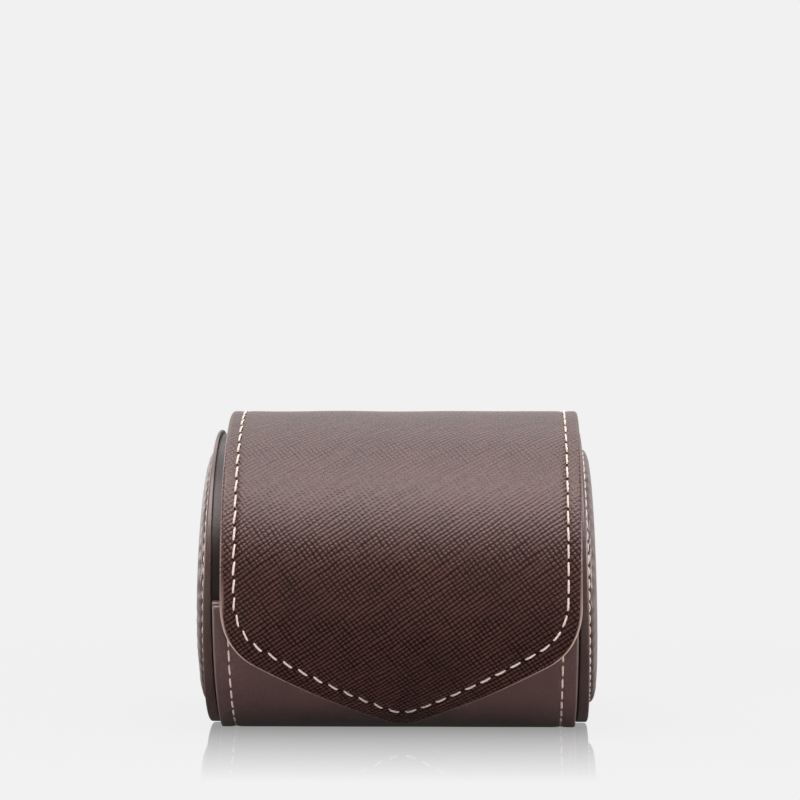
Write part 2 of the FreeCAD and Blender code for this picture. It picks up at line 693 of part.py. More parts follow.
def make_back_thread():
    """Stitching down both sides of the flap's tail and along its lower edge."""
    margin = size("seam_margin").value
    outer = flap_outer.value
    shift = size("flap_shift").value
    side = flap_half.value - margin
    lowest = tail_end.value + math.degrees(margin / outer)
    points = arc_points(shift - side, outer, barrel_end.value, lowest)
    points.append(on_barrel(shift, outer, lowest))
    points += arc_points(shift + side, outer, lowest, barrel_end.value)
    make_thread("back_panel_thread", stitches(points, barrel_normal, size("thread_proud").value))


def wrap_normal(point):
    """Direction straight out of the barrel's leather, which is downwards on its flat base."""
    return Vector(0, 0, -1) if abs(point.z) < ON_BASE else barrel_normal(point)


def make_wrap_thread():
    """Stitching along both ends of the barrel, level with its leather, from the lip to the tail."""
    radius = wrap_outer.value
    meet = flat_angle(wrap_outer, as_size(0))
    margin = size("wrap_seam_margin").value
    lip = size("lip_angle").value + math.degrees(margin / radius)
    solids = []
    for side in (-1, 1):
        across = side * (wrap_half.value - margin)
        solids += stitches(arc_points(across, radius, lip, meet), barrel_normal, 0.0)
        base = [on_barrel(across, radius, meet), on_barrel(across, radius, 360.0 - meet)]
        solids += stitches([Vector(p.x, p.y, 0.0) for p in base], wrap_normal, 0.0)
        back = arc_points(across, radius, 360.0 - meet, 360.0 + tail_end.value)
        solids += stitches(back, barrel_normal, 0.0)
    make_thread("wrap_thread", solids)


def make_cap_thread(label, side):
    """Stitching round the foot of a cap's padded middle."""
    radius = pad_radius.value + size("cap_seam").value
    lean = math.radians(size("cap_lean").value)
    outwards = Vector(side * math.cos(lean), 0, math.sin(lean))
    downwards = Vector(side * math.sin(lean), 0, -math.cos(lean))
    middle = Vector(side * border_inner.value, 0, axis_height.value) + outwards * size("cap_leather").value
    steps = round(2.0 * math.pi * radius)
    points = []
    for step in range(steps + 1):
        turn = 2.0 * math.pi * step / steps
        points.append(middle - downwards * (radius * math.cos(turn)) + Vector(0, -radius * math.sin(turn), 0))
    proud = size("cap_thread_proud").value
    make_thread(label, stitches(points, lambda point: outwards, proud, "cap_stitch_pitch"))


def make_barrel():
    """The barrel's three layers, the binding of its front lip and the keeper in its front wall."""
    zero = as_size(0)
    leather_floor = size("wrap_leather")
    board_floor = leather_floor + size("former_board")
    bound_lip = size("lip_angle") + size("lip_binding") / wrap_outer * math.degrees(1.0)
    make_trough("wrap_leather", former_outer, wrap_outer, leather_floor, zero, bound_lip, size("wrap_width"))
    former = make_trough("body_former", lining_outer, former_outer, board_floor, leather_floor, bound_lip,
                         size("wrap_width"))
    make_trough("body_lining", room_radius, lining_outer, room_floor, board_floor, size("lip_angle"),
                plug_inner * 2)
    make_sector("front_lip_binding", lining_outer, wrap_outer, size("lip_angle"), bound_lip,
                size("wrap_width"))

    keeper_inner = former_outer - size("keeper_plate")
    first = size("magnet_angle") - size("magnet_span") / 2
    last = size("magnet_angle") + size("magnet_span") / 2
    play = size("magnet_clearance") / former_outer * math.degrees(1.0)
    window = size("magnet_width") + size("magnet_clearance") * 2
    cut_sector(former, keeper_inner, former_outer, first - play, last + play, window, size("flap_shift"))
    make_sector("keeper_plate", keeper_inner, former_outer, first, last, size("magnet_width"),
                size("flap_shift"))


def make_back():
    """The flap's tail on the back of the barrel, over a filler board."""
    width = flap_width
    shift = size("flap_shift")
    make_sector("back_filler_board", wrap_outer, flap_leather_inner, tail_end, barrel_end, width, shift)
    make_sector("back_panel_leather", flap_leather_inner, flap_outer, tail_end, barrel_end, width, shift)


def make_hinge():
    """The bare strip of leather and lining that bends when the flap opens."""
    width = flap_width
    shift = size("flap_shift")
    make_sector("hinge_leather", flap_leather_inner, flap_outer, barrel_end, flap_start, width, shift)
    lining_outer_edge = flap_leather_inner
    lining_inner_edge = lining_outer_edge - size("flap_suede")
    make_sector("hinge_lining", lining_inner_edge, lining_outer_edge, barrel_end, flap_start, width, shift)


def make_flap():
    """The flap's leather, board and lining, with the magnet in a window of the board."""
    make_flap_layer("flap_leather", flap_leather_inner, flap_outer)
    board = make_flap_layer("flap_board", flap_board_inner, flap_leather_inner)
    make_flap_layer("flap_lining", flap_lining_inner, flap_board_inner)
    first = size("magnet_angle") - size("magnet_span") / 2
    last = size("magnet_angle") + size("magnet_span") / 2
    play = size("magnet_clearance") / flap_board_inner * math.degrees(1.0)
    window = size("magnet_width") + size("magnet_clearance") * 2
    cut_sector(board, flap_board_inner, flap_leather_inner, first - play, last + play, window,
               size("flap_shift"))
    make_sector("flap_magnet", flap_board_inner, flap_leather_inner, first, last, size("magnet_width"),
                size("flap_shift"))


def make_end(side_name):
    """One end: plug, lining, and the cap's board, pad and leather."""
    board_floor = size("wrap_leather") + size("former_board")
    plug_floor = board_floor + size("plug_clearance")
    plug_radius = lining_outer - size("plug_clearance")
    lining_radius = room_radius - size("plug_clearance")
    lining_floor = room_floor + size("plug_clearance")
    bodies = [
        make_disc(f"{side_name}_end_plug", plug_radius, plug_floor, plug_inner, plug_outer),
        make_disc(f"{side_name}_end_lining", lining_radius, lining_floor, lining_inner, plug_inner),
        make_cap_board(f"{side_name}_cap_board"),
        make_cap_pad(f"{side_name}_cap_pad"),
        make_cap_leather(f"{side_name}_cap_leather"),
    ]
    if side_name == "left":
        for body in bodies:
            turn_to_left(body)


make_barrel()
make_back()
make_hinge()
make_flap()
for side_name in ("left", "right"):
    make_end(side_name)
make_cushion()
make_wrap_thread()
make_back_thread()
make_flap_thread()
make_cap_thread("left_cap_thread", -1)
make_cap_thread("right_cap_thread", 1)
document.recompute()

for thing in document.Objects:
    if "Invalid" in thing.State or "Error" in thing.State:
        raise RuntimeError(f"{thing.Label} failed: {thing.State}")
for part in sub_parts:
    if part.Shape.isNull() or not part.Shape.isValid():
        raise RuntimeError(f"{part.Label} has no valid shape")

os.makedirs("parts", exist_ok=True)
for part in sub_parts:
    part.Shape.exportStep(os.path.join("parts", f"{part.Label}.step"))
    box = part.Shape.optimalBoundingBox()
    print(f"{part.Label}: {len(part.Shape.Solids)} solids, {part.Shape.Volume:.1f} mm3,",
          f"{box.XLength:.2f} x {box.YLength:.2f} x {box.ZLength:.2f} mm")
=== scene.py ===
"""Looks of the watch storage case: leather, stitching, padded ends, lining and cushion over its solids.

X runs along the barrel and the front is at -Y. Lengths are in millimetres until a mesh is made.
Angles round the barrel are from the top: positive over the front, negative down the back.
"""
import math

import bmesh
import bpy
import numpy as np
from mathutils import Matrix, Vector
from mathutils.geometry import delaunay_2d_cdt


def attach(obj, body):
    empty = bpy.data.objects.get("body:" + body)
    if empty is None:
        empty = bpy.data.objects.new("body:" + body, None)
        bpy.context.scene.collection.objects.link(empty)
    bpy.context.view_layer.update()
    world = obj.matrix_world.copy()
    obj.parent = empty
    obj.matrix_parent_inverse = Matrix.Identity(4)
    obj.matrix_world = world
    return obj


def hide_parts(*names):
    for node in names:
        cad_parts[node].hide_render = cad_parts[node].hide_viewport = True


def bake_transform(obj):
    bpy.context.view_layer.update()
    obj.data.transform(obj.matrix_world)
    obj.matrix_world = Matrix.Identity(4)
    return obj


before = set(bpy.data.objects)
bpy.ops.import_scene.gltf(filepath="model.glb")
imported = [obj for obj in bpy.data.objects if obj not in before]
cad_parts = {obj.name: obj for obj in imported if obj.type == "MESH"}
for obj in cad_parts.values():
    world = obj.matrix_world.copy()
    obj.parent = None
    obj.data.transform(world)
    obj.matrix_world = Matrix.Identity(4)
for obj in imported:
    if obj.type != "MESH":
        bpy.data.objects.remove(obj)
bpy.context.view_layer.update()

MM = 0.001

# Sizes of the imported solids
AXIS_HEIGHT = 36.9
WRAP_RADIUS = 38.5
WRAP_HALF = 43.8
WRAP_LEATHER = 1.2
LINING_OUTER = 35.7
LINING_HALF = 41.3
ROOM_RADIUS = 35.0
ROOM_FLOOR = 3.5
LIP_ANGLE = 96.0
LIP_END = 97.49
FLAP_OUTER = 41.3
FLAP_LEATHER_INNER = 40.3
FLAP_BOARD_INNER = 39.3
FLAP_LINING_INNER = 38.8
FLAP_HALF = 43.2
FLAP_SHIFT = 1.4
TIP_ANGLE = 148.2
TIP_SLOPE = 32.0
TIP_RADIUS = 7.0
SHOULDER_RADIUS = 17.0
TRIM_TILT = 40.2
FLAP_START = -24.0
BARREL_END = -36.0
TAIL_END = -140.0
END_LINING_RADIUS = 34.9
CAP_RADIUS = 36.6
CAP_BACK = 44.2
CAP_BOARD_FACE = 45.35
CAP_FRONT = 46.15
CAP_LEAN = 1.5
PAD_RADIUS = 31.7
PAD_RISE = 2.6
PAD_SAG = 5.5
PAD_SQUARENESS = 4.6
PAD_LAST_ANGLE = 82.0
CUSHION_RADIUS = 25.5
CUSHION_CROWN = 1.9
CUSHION_HALF = 38.5
CUSHION_PEAK = 40.2
CUSHION_HEIGHT = 29.3
SEAM_MARGIN = 3.4
WRAP_SEAM_MARGIN = 3.7
TIP_SEAM_MARGIN = 5.8
CAP_SEAM_RADIUS = 32.5
STITCH_PITCH = 4.2
CAP_STITCHES = 70

# Rounded edges, the linings' step back, the dip along a seam, swells of leather, the hinge's crease and nap
EDGE_ROUND = 0.75
UNDER_ROUND = 0.5
SUEDE_ROUND = 0.3
LINING_INSET = 0.7
SHRINK_REACH = 8.0
SHRINK_AIM = 40.0
HINGE_LINING = 0.5
FURROW_DEPTH = 0.26
FURROW_WIDTH = 0.75
SWELL = 0.07
SWELL_LENGTH = 28.0
WRAP_FURROW = 0.75
WRAP_SWELL = 0.05
WRAP_SWELL_LENGTH = 30.0
CREASE_DEPTH = 0.1
CREASE_WIDTH = 1.6
NAP = 0.04
NAP_LENGTH = 14.0

# Widths of the painted edge, how pale it is against the flap's V, where its paleness is partly a painted
# highlight, and the angles where the V begins
RIM_BLUR = 0.13
TIP_RIM = 0.47
LEFT_RIM = 1.0
RIGHT_RIM = 0.6
TAIL_RIM = 1.1
SIDE_EDGE_TONE = 0.05
WRAP_EDGE_TONE = 0.6
SHOULDER_START = 85.0
SHOULDER_END = 112.0

# Steps in from a free edge, fine over its rounding and over the seam's furrow
EDGE_STEPS = [0.0, 0.06, 0.18, 0.35, 0.55, 0.8, 1.2, 1.8, 2.4, 2.9, 3.2, 3.4, 3.6, 3.9, 4.4, 5.0, 5.8, 6.6]
GRID_SPACING = 1.4
SECTION_SPACING = 1.2

# The flap's grain: the slope of its long ridges, both pitches, how far ridges wander, and their depth
GRAIN_SLOPE = 35.0
GRAIN_PITCH = 0.98
GRAIN_CROSS_PITCH = 1.05
GRAIN_WANDER = 0.9
GRAIN_DEPTH = 0.09

# Covers are blown up as cloth at ten times their size, where its solver is steady: metres per millimetre
CLOTH_SCALE = 0.01
CLOTH_FRAMES = 20
CLOTH_PRESSURE = 4.0
CLOTH_MASS = 0.05

# How much give the firm foam of a cap leaves, the covers' spare length, and a pad's depth under its seam
PAD_SLACK = 0.35
PAD_SPARE = 0.02
CUSHION_SPARE = 0.04
PAD_FOOT = 0.2

# Points round a cap, its rounded edges, the radii of its border, those and depths of its furrow, and puckers
CAP_POINTS = CAP_STITCHES * 6
BACK_ROUND = 0.3
FACE_ROUND = 0.7
FACE_DROP = 0.55
CAP_BORDER = (35.4, 34.6, 33.8, 33.3)
CAP_FURROW = ((33.0, 0.1), (32.75, 0.24), (32.5, 0.34), (32.2, 0.36), (31.9, 0.3))
PUCKER = 0.07

# The cushion: points round it, how its ends swell, its sewn line, and the tucks beside its end seams
CUSHION_POINTS = 160
END_STEP = 0.5
END_POWER = 2.4
SEWN_DEPTH = 0.5
SEWN_WIDTH = 0.035
TUCK_DEPTH = 0.35
TUCK_INSET = 0.6
TUCK_WIDTH = 0.5

# Stitches: the thread's radius, how deep its ends dip and how high it arches, and the dents between them
THREAD_RADIUS = 0.25
CAP_THREAD_RADIUS = 0.28
THREAD_DIP = 0.4
THREAD_ARCH = 0.38
PLY_TURNS = 1.5
DENT_LENGTH = 0.42
DENT_WIDTH = 0.27
DENT_RINGS = ((-0.5, 1.0), (-0.2, 1.0), (-0.17, 0.75), (-0.2, 0.35))


# Materials

def srgb(red, green, blue):
    """Linear colour of an 8-bit display colour."""
    def channel(value):
        value /= 255.0
        return value / 12.92 if value <= 0.04045 else ((value + 0.055) / 1.055) ** 2.4
    return (channel(red), channel(green), channel(blue), 1.0)


class Nodes:
    """The node tree of a material or world, with short ways to add and link nodes."""

    def __init__(self, owner, output="ShaderNodeOutputMaterial"):
        owner.use_nodes = True
        self.owner = owner
        self.tree = owner.node_tree
        self.tree.nodes.clear()
        self.output = self.add(output)

    def add(self, kind, **settings):
        node = self.tree.nodes.new(kind)
        for key, value in settings.items():
            setattr(node, key, value)
        return node

    def set(self, node, socket, value):
        """Link a socket to another one, or give it a value."""
        if isinstance(value, bpy.types.NodeSocket):
            self.tree.links.new(value, node.inputs[socket])
        else:
            node.inputs[socket].default_value = value

    def fill(self, node, *values):
        """Set the first sockets of a node in turn."""
        for socket, value in enumerate(values):
            self.set(node, socket, value)
        return node

    def sockets(self, node, **values):
        """Set sockets of a node by their names, with underscores for spaces."""
        for socket, value in values.items():
            self.set(node, socket.replace("_", " "), value)
        return node

    def math(self, operation, first, second=0.0, clamp=False):
        node = self.add("ShaderNodeMath", operation=operation, use_clamp=clamp)
        return self.fill(node, first, second).outputs[0]

    def plus(self, first, second):
        return self.math("ADD", first, second)

    def minus(self, first, second, clamp=False):
        return self.math("SUBTRACT", first, second, clamp)

    def times(self, first, second):
        return self.math("MULTIPLY", first, second)

    def mix(self, share, first, second):
        node = self.add("ShaderNodeMix", data_type="RGBA")
        self.set(node, "Factor", share)
        self.set(node, 6, first)
        self.set(node, 7, second)
        return node.outputs[2]

    def span(self, value, low, high, to_low=0.0, to_high=1.0):
        """Map a range smoothly onto another."""
        node = self.add("ShaderNodeMapRange", interpolation_type="SMOOTHSTEP")
        return self.fill(node, value, low, high, to_low, to_high).outputs[0]

    def tones(self, level, dark, light, low=0.3, high=0.7):
        """A colour from dark to light as a level goes from low to high."""
        return self.mix(self.span(level, low, high), dark, light)

    def noise(self, vector, scale, detail=2.0, roughness=0.5):
        node = self.add("ShaderNodeTexNoise")
        self.sockets(node, Vector=vector, Scale=scale, Detail=detail, Roughness=roughness)
        return node.outputs["Fac"]

    def cells(self, vector, scale):
        node = self.add("ShaderNodeTexVoronoi", feature="SMOOTH_F1")
        return self.sockets(node, Vector=vector, Scale=scale, Smoothness=0.4).outputs["Distance"]

    def bump(self, height, depth, strength=1.0):
        """A normal from a height between 0 and 1 and a depth in millimetres."""
        node = self.add("ShaderNodeBump")
        return self.sockets(node, Height=height, Distance=depth * MM, Strength=strength).outputs["Normal"]

    def attribute(self, name, output="Fac"):
        return self.add("ShaderNodeAttribute", attribute_name=name).outputs[output]

    def parts(self, vector):
        """The x, y and z of a vector."""
        return self.fill(self.add("ShaderNodeSeparateXYZ"), vector).outputs

    def stretched(self, vector, factors):
        """A vector with its x, y and z multiplied."""
        return self.fill(self.add("ShaderNodeVectorMath", operation="MULTIPLY"), vector, factors).outputs[0]

    def object_mm(self):
        """Object coordinates in millimetres."""
        return self.stretched(self.add("ShaderNodeTexCoord").outputs["Object"], (1.0 / MM,) * 3)

    def surface(self, **values):
        """The material, with a shader of these values."""
        shader = self.sockets(self.add("ShaderNodeBsdfPrincipled"), **values)
        self.set(self.output, "Surface", shader.outputs[0])
        return self.owner


def new_material(name):
    return Nodes(bpy.data.materials.new(name))


def cross_grain_leather():
    """Leather pressed with two sets of slanting lines at uneven distances, with painted shade darkening its
    pits and a paler painted edge that is partly a painted highlight along the flap's V.
    """
    n = new_material("cross_grain_leather")
    grain = n.attribute("grain", "Vector")
    rotate = n.add("ShaderNodeVectorRotate", rotation_type="Z_AXIS")
    turned = n.sockets(rotate, Vector=grain, Angle=math.radians(-GRAIN_SLOPE)).outputs[0]

    def ridges(across, pitch, stretch, sharpness):
        """Ridges whose distances vary across them and hardly along them."""
        drift = n.minus(n.noise(n.stretched(turned, stretch), 1.0, 1.0), 0.5)
        turns = n.times(n.plus(across, n.times(drift, GRAIN_WANDER)), 2.0 * math.pi / pitch)
        return n.math("POWER", n.times(n.plus(n.math("COSINE", turns), 1.0), 0.5), sharpness)

    places = n.parts(turned)
    long_ridge = ridges(places["Y"], GRAIN_PITCH, (0.14, 0.42, 0.0), 0.8)
    cross_ridge = ridges(places["X"], GRAIN_CROSS_PITCH, (0.46, 0.15, 0.0), 0.6)
    cut = n.span(n.noise(grain, 0.22), 0.3, 0.7, 0.6, 0.95)
    notch = n.minus(1.0, n.times(cut, n.minus(1.0, cross_ridge)))
    fine = n.times(n.minus(n.noise(grain, 2.6, 3.0, 0.6), 0.5), 0.6)
    height = n.plus(n.times(long_ridge, notch), fine)
    edge = n.attribute("edge")
    relief = n.plus(height, n.times(n.span(edge, 0.0, 0.1), n.minus(0.4, height)))
    ridge = n.tones(n.noise(grain, 0.06, 3.0), srgb(70, 38, 31), srgb(78, 43, 36), 0.35, 0.65)
    # The pits are darkened towards near black: painted shade in the pressed pits.
    leather = n.tones(relief, srgb(17, 8, 6), ridge, 0.0, 0.85)
    # The pale edge colour is edge paint, and where it is strongest, along the flap's V, partly a painted
    # highlight of the rounded edge.
    return n.surface(Base_Color=n.mix(edge, leather, srgb(162, 139, 128)),
                     Roughness=n.span(relief, 0.0, 0.85, 0.22, 0.41), Specular_IOR_Level=0.45,
                     Specular_Tint=(1.0, 0.86, 0.85, 1.0), Normal=n.bump(relief, GRAIN_DEPTH))


def smooth_leather(name, dark, light, roughness, specular, pebble=1.6, depth=0.03):
    """Leather with a fine pebble, soft clouds of colour, painted shade darkening the creases between its
    pebbles, and a paler painted edge where one is marked.
    """
    n = new_material(name)
    spot = n.object_mm()
    cells = n.cells(spot, pebble)
    fine = n.noise(spot, 3.2, 3.0)
    leather = n.tones(n.noise(spot, 0.07, 3.0), dark, light)
    # The creases between the pebbles are darkened towards a dark brown: painted shade.
    crease_shaded = n.mix(n.span(cells, 0.1, 0.5, 0.0, 0.35), leather, srgb(28, 18, 16))
    return n.surface(Base_Color=n.mix(n.attribute("edge"), crease_shaded, srgb(104, 88, 83)),
                     Roughness=n.span(fine, 0.3, 0.7, roughness - 0.04, roughness + 0.05),
                     Specular_IOR_Level=specular, Specular_Tint=(1.0, 0.9, 0.88, 1.0),
                     Normal=n.bump(n.plus(cells, n.times(fine, 0.4)), depth))


def suede(name, dark, light, sheen):
    """Short-napped suede: a fine fuzz, brushed patches and a soft sheen."""
    n = new_material(name)
    spot = n.object_mm()
    nap = n.noise(spot, 4.5, 4.0, 0.65)
    patch = n.noise(spot, 0.16, 3.0, 0.6)
    return n.surface(Base_Color=n.tones(n.times(n.plus(patch, nap), 0.5), dark, light, 0.36, 0.64),
                     Roughness=n.span(nap, 0.3, 0.7, 0.86, 0.98), Specular_IOR_Level=0.2,
                     Sheen_Weight=sheen, Sheen_Roughness=0.45, Normal=n.bump(nap, 0.12, 0.8))


def fibre_board(name, dark, light):
    """Pressed board with a painted, slightly fibrous surface."""
    n = new_material(name)
    spot = n.object_mm()
    fibres = n.noise(spot, 2.2, 5.0, 0.7)
    specks = n.noise(spot, 0.5, 2.0)
    return n.surface(Base_Color=n.tones(n.plus(fibres, specks), dark, light, 0.7, 1.3),
                     Roughness=n.span(fibres, 0.3, 0.7, 0.6, 0.8), Specular_IOR_Level=0.3,
                     Normal=n.bump(fibres, 0.06, 0.6))


def metal(name, dark, light, roughness):
    """Plated metal with fine brushing along its length."""
    n = new_material(name)
    lines = n.noise(n.stretched(n.object_mm(), (0.12, 6.0, 6.0)), 1.0, 3.0)
    return n.surface(Base_Color=n.tones(lines, dark, light), Metallic=1.0,
                     Roughness=n.span(lines, 0.3, 0.7, roughness, roughness + 0.15),
                     Normal=n.bump(lines, 0.01, 0.5))


def sewing_thread():
    """Waxed cream thread, with painted shade darkening it between its plies."""
    n = new_material("sewing_thread")
    fuzz = n.noise(n.object_mm(), 6.0, 2.0)
    tone = n.tones(fuzz, srgb(178, 158, 148), srgb(202, 183, 173))
    # Darker where the plies meet: painted shade in the grooves between them.
    between = n.span(n.attribute("ply"), 0.0, 0.55, 0.55, 0.0)
    return n.surface(Base_Color=n.mix(between, tone, srgb(150, 126, 108)),
                     Roughness=n.span(fuzz, 0.3, 0.7, 0.5, 0.68), Specular_IOR_Level=0.4,
                     Sheen_Weight=0.2, Normal=n.bump(fuzz, 0.04, 0.5))


def shaded_needle_hole():
    """The dent where thread goes into leather, coloured near black as the painted shade of the hole."""
    n = new_material("shaded_needle_hole")
    shade = n.noise(n.object_mm(), 4.0, 2.0)
    return n.surface(Base_Color=n.tones(shade, srgb(18, 11, 9), srgb(34, 22, 19)), Roughness=0.9,
                     Specular_IOR_Level=0.1)


FLAP_LEATHER = cross_grain_leather()
BODY_LEATHER = smooth_leather("body_leather", srgb(89, 63, 60), srgb(99, 71, 67), 0.36, 0.8)
CAP_LEATHER = smooth_leather("cap_leather", srgb(70, 50, 46), srgb(80, 58, 53), 0.33, 0.7, 1.3, 0.015)
# The end plugs are dark leather, set near black with the painted shade of the narrow gap between the flap and
# the caps in their colour.
SHADED_PLUG_LEATHER = smooth_leather("plug_leather", srgb(27, 17, 15), srgb(35, 23, 20), 0.38, 0.45)
BOARD = fibre_board("painted_board", srgb(46, 33, 30), srgb(58, 43, 39))
LINING_SUEDE = suede("lining_suede", srgb(150, 130, 108), srgb(168, 147, 123), 0.35)
CUSHION_SUEDE = suede("cushion_suede", srgb(160, 140, 117), srgb(178, 157, 132), 0.4)
THREAD = sewing_thread()
SHADED_HOLE = shaded_needle_hole()
STEEL = metal("plated_steel", srgb(150, 150, 152), srgb(182, 182, 184), 0.3)
MAGNET = metal("nickel_plating", srgb(168, 166, 160), srgb(196, 194, 188), 0.2)


# Shapes and meshes

def barrel(across, degrees, radius):
    """Points on circles round the barrel's axis."""
    turn = np.radians(degrees)
    across, turn, radius = np.broadcast_arrays(across, turn, radius)
    return np.stack([across, -radius * np.sin(turn), AXIS_HEIGHT + radius * np.cos(turn)], axis=-1)


def waves(first, second, seed, length):
    """Smooth uneven field between about -1 and 1, with swells of about this length."""
    random = np.random.default_rng(seed)
    total = np.zeros(np.broadcast(first, second).shape)
    for _ in range(6):
        direction = random.uniform(0.0, 2.0 * math.pi)
        count = 2.0 * math.pi / (length * random.uniform(0.7, 1.6))
        phase = random.uniform(0.0, 2.0 * math.pi)
        total += np.sin(count * (first * math.cos(direction) + second * math.sin(direction)) + phase)
    return total / 3.0


def smoothstep(value, low, high):
    share = np.clip((value - low) / (high - low), 0.0, 1.0)
    return share * share * (3.0 - 2.0 * share)


def hump(distance, width):
    """A smooth bump that is 1 at its middle."""
    return np.exp(-(distance / width) ** 2)


def rounded(distance, radius):
    """How far a rounded edge has dropped at a distance in from it."""
    inside = np.clip(radius - distance, 0.0, radius)
    return radius - np.sqrt(radius ** 2 - inside ** 2)


def full_turn(count):
    """Angles of points round a ring, in radians."""
    return np.linspace(0.0, 2.0 * math.pi, count, endpoint=False)


def new_object(name, data):
    """An object in the scene."""
    thing = bpy.data.objects.new(name, data)
    bpy.context.scene.collection.objects.link(thing)
    return thing


def make_object(name, points, faces, material, **attributes):
    """Object of a mesh with smooth shading, outward faces and values at its points."""
    mesh = bpy.data.meshes.new(name)
    mesh.from_pydata((np.asarray(points) * MM).tolist(), [], faces)
    for key, values in attributes.items():
        values = np.asarray(values, np.float32)
        vector = values.ndim == 2
        layer = mesh.attributes.new(key, "FLOAT_VECTOR" if vector else "FLOAT", "POINT")
        layer.data.foreach_set("vector" if vector else "value", values.ravel())
    work = bmesh.new()
    work.from_mesh(mesh)
    bmesh.ops.recalc_face_normals(work, faces=work.faces)
    work.to_mesh(mesh)
    work.free()
    mesh.materials.append(material)
    mesh.shade_smooth()
    return new_object(name, mesh)


def grid_faces(rows, columns, first=0, closed=False):
    """Quads of a grid of points that is numbered row by row; closed joins its last column to its first."""
    faces = []
    last = columns if closed else columns - 1
    for row in range(rows - 1):
        start = first + row * columns
        for column in range(last):
            beside = (column + 1) % columns
            faces.append((start + column, start + beside, start + columns + beside, start + columns + column))
    return faces


def tube_faces(rows, columns, first=0):
    """Quads of closed rings of points, and a face over the first ring and over the last."""
    end = first + rows * columns
    return grid_faces(rows, columns, first, closed=True) + [
        tuple(reversed(range(first, first + columns))), tuple(range(end - columns, end))]


def two_layers(name, top, bottom, faces, rim, material, **attributes):
    """Closed sheet of two layers of points: the faces of a layer, twice, and walls along its rim."""
    count = len(top)
    solid = faces + [tuple(corner + count for corner in face) for face in faces]
    for here, there in zip(rim, rim[1:] + rim[:1]):
        solid.append((here, there, count + there, count + here))
    doubled = {key: np.concatenate([values, values]) for key, values in attributes.items()}
    return make_object(name, np.concatenate([top, bottom]), solid, material, **doubled)


def thick_sheet(name, top, bottom, material, **attributes):
    """Closed sheet between two grids of points of the same shape."""
    rows, columns = top.shape[:2]
    number = np.arange(rows * columns).reshape(rows, columns)
    rim = np.concatenate([number[0], number[1:, -1], number[-1, -2::-1], number[-2:0:-1, 0]]).tolist()
    return two_layers(name, top.reshape(-1, 3), bottom.reshape(-1, 3), grid_faces(rows, columns), rim,
                      material, **attributes)


def across_places(half, shift=0.0, spacing=GRID_SPACING):
    """Places across a sheet, fine towards both edges."""
    inner = half - EDGE_STEPS[-1]
    middle = np.linspace(-inner, inner, int(2.0 * inner / spacing) + 2)[1:-1]
    left = [-half + step for step in EDGE_STEPS]
    right = [half - step for step in reversed(EDGE_STEPS)]
    return np.array(left + list(middle) + right) + shift


def edge_mark(distance, width):
    """The painted line along a cut edge."""
    return 1.0 - smoothstep(distance, width - RIM_BLUR, width + RIM_BLUR)


def on_tip(length):
    """How far a place round the barrel belongs to the flap's V rather than to its sides."""
    return smoothstep(np.degrees(length / FLAP_OUTER), SHOULDER_START, SHOULDER_END)


def flap_rim_and_highlight(distance, flat):
    """The flap's painted edge: pale along the V, where the pale colour is partly edge paint and partly a
    painted highlight of the rounded edge catching the light; faint at the sides and broadest at the left one.
    """
    tip = on_tip(flat[:, 1])
    width = np.where(flat[:, 0] < FLAP_SHIFT, LEFT_RIM, RIGHT_RIM)
    tone = SIDE_EDGE_TONE + (1.0 - SIDE_EDGE_TONE) * tip
    return edge_mark(distance, width + (TIP_RIM - width) * tip) * tone


def furrow(distance):
    """The dip that stitching pulls into the leather."""
    return -FURROW_DEPTH * hump(distance, FURROW_WIDTH)


def place(piece, body, slot, *nodes):
    """A piece that rides on a body and stands for some nodes, which are hidden; slot is not used."""
    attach(piece, body)
    if nodes:
        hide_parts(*nodes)


def bend(piece, slot, *nodes):
    """A strip across the hinge, with its transform baked in; the nodes it stands for are hidden."""
    start, end = (barrel(0.0, degrees, FLAP_OUTER - 0.5) * MM for degrees in (BARREL_END, FLAP_START))
    if nodes:
        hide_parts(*nodes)
    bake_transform(piece)


# The flap's outline, laid out flat as x and length round the barrel

def tip_outline(half, low, shoulder, tip, steps=40):
    """Points of the rounded V from the left shoulder to the right one, in the plane of the cut."""
    lean = math.radians(TIP_SLOPE)
    turn = np.linspace(0.0, lean, steps)
    arc = np.stack([np.sin(turn) * tip, low + tip - np.cos(turn) * tip], axis=1)
    reach = half - shoulder + shoulder * math.sin(lean) - arc[-1, 0]
    end = arc[-1] + np.array([reach, reach * math.tan(lean)])
    slope = arc[-1] + (end - arc[-1]) * np.linspace(0.0, 1.0, steps)[1:-1, None]
    centre = end + np.array([-math.sin(lean), math.cos(lean)]) * shoulder
    turn = np.linspace(lean, math.pi / 2.0, steps)
    round_part = centre + np.stack([np.sin(turn), -np.cos(turn)], axis=1) * shoulder
    right = np.concatenate([arc, slope, round_part])
    left = right[:0:-1] * np.array([-1.0, 1.0])
    return np.concatenate([left, right])


def run_along(points):
    """The distance along a line at each of its points."""
    return np.concatenate([[0.0], np.cumsum(np.linalg.norm(np.diff(points, axis=0), axis=1))])


def resample(points, spacing):
    """Points at an even spacing along a line."""
    along = run_along(points)
    count = max(2, int(round(along[-1] / spacing)) + 1)
    places = np.linspace(0.0, along[-1], count)
    return np.stack([np.interp(places, along, points[:, axis]) for axis in range(points.shape[1])], axis=1)


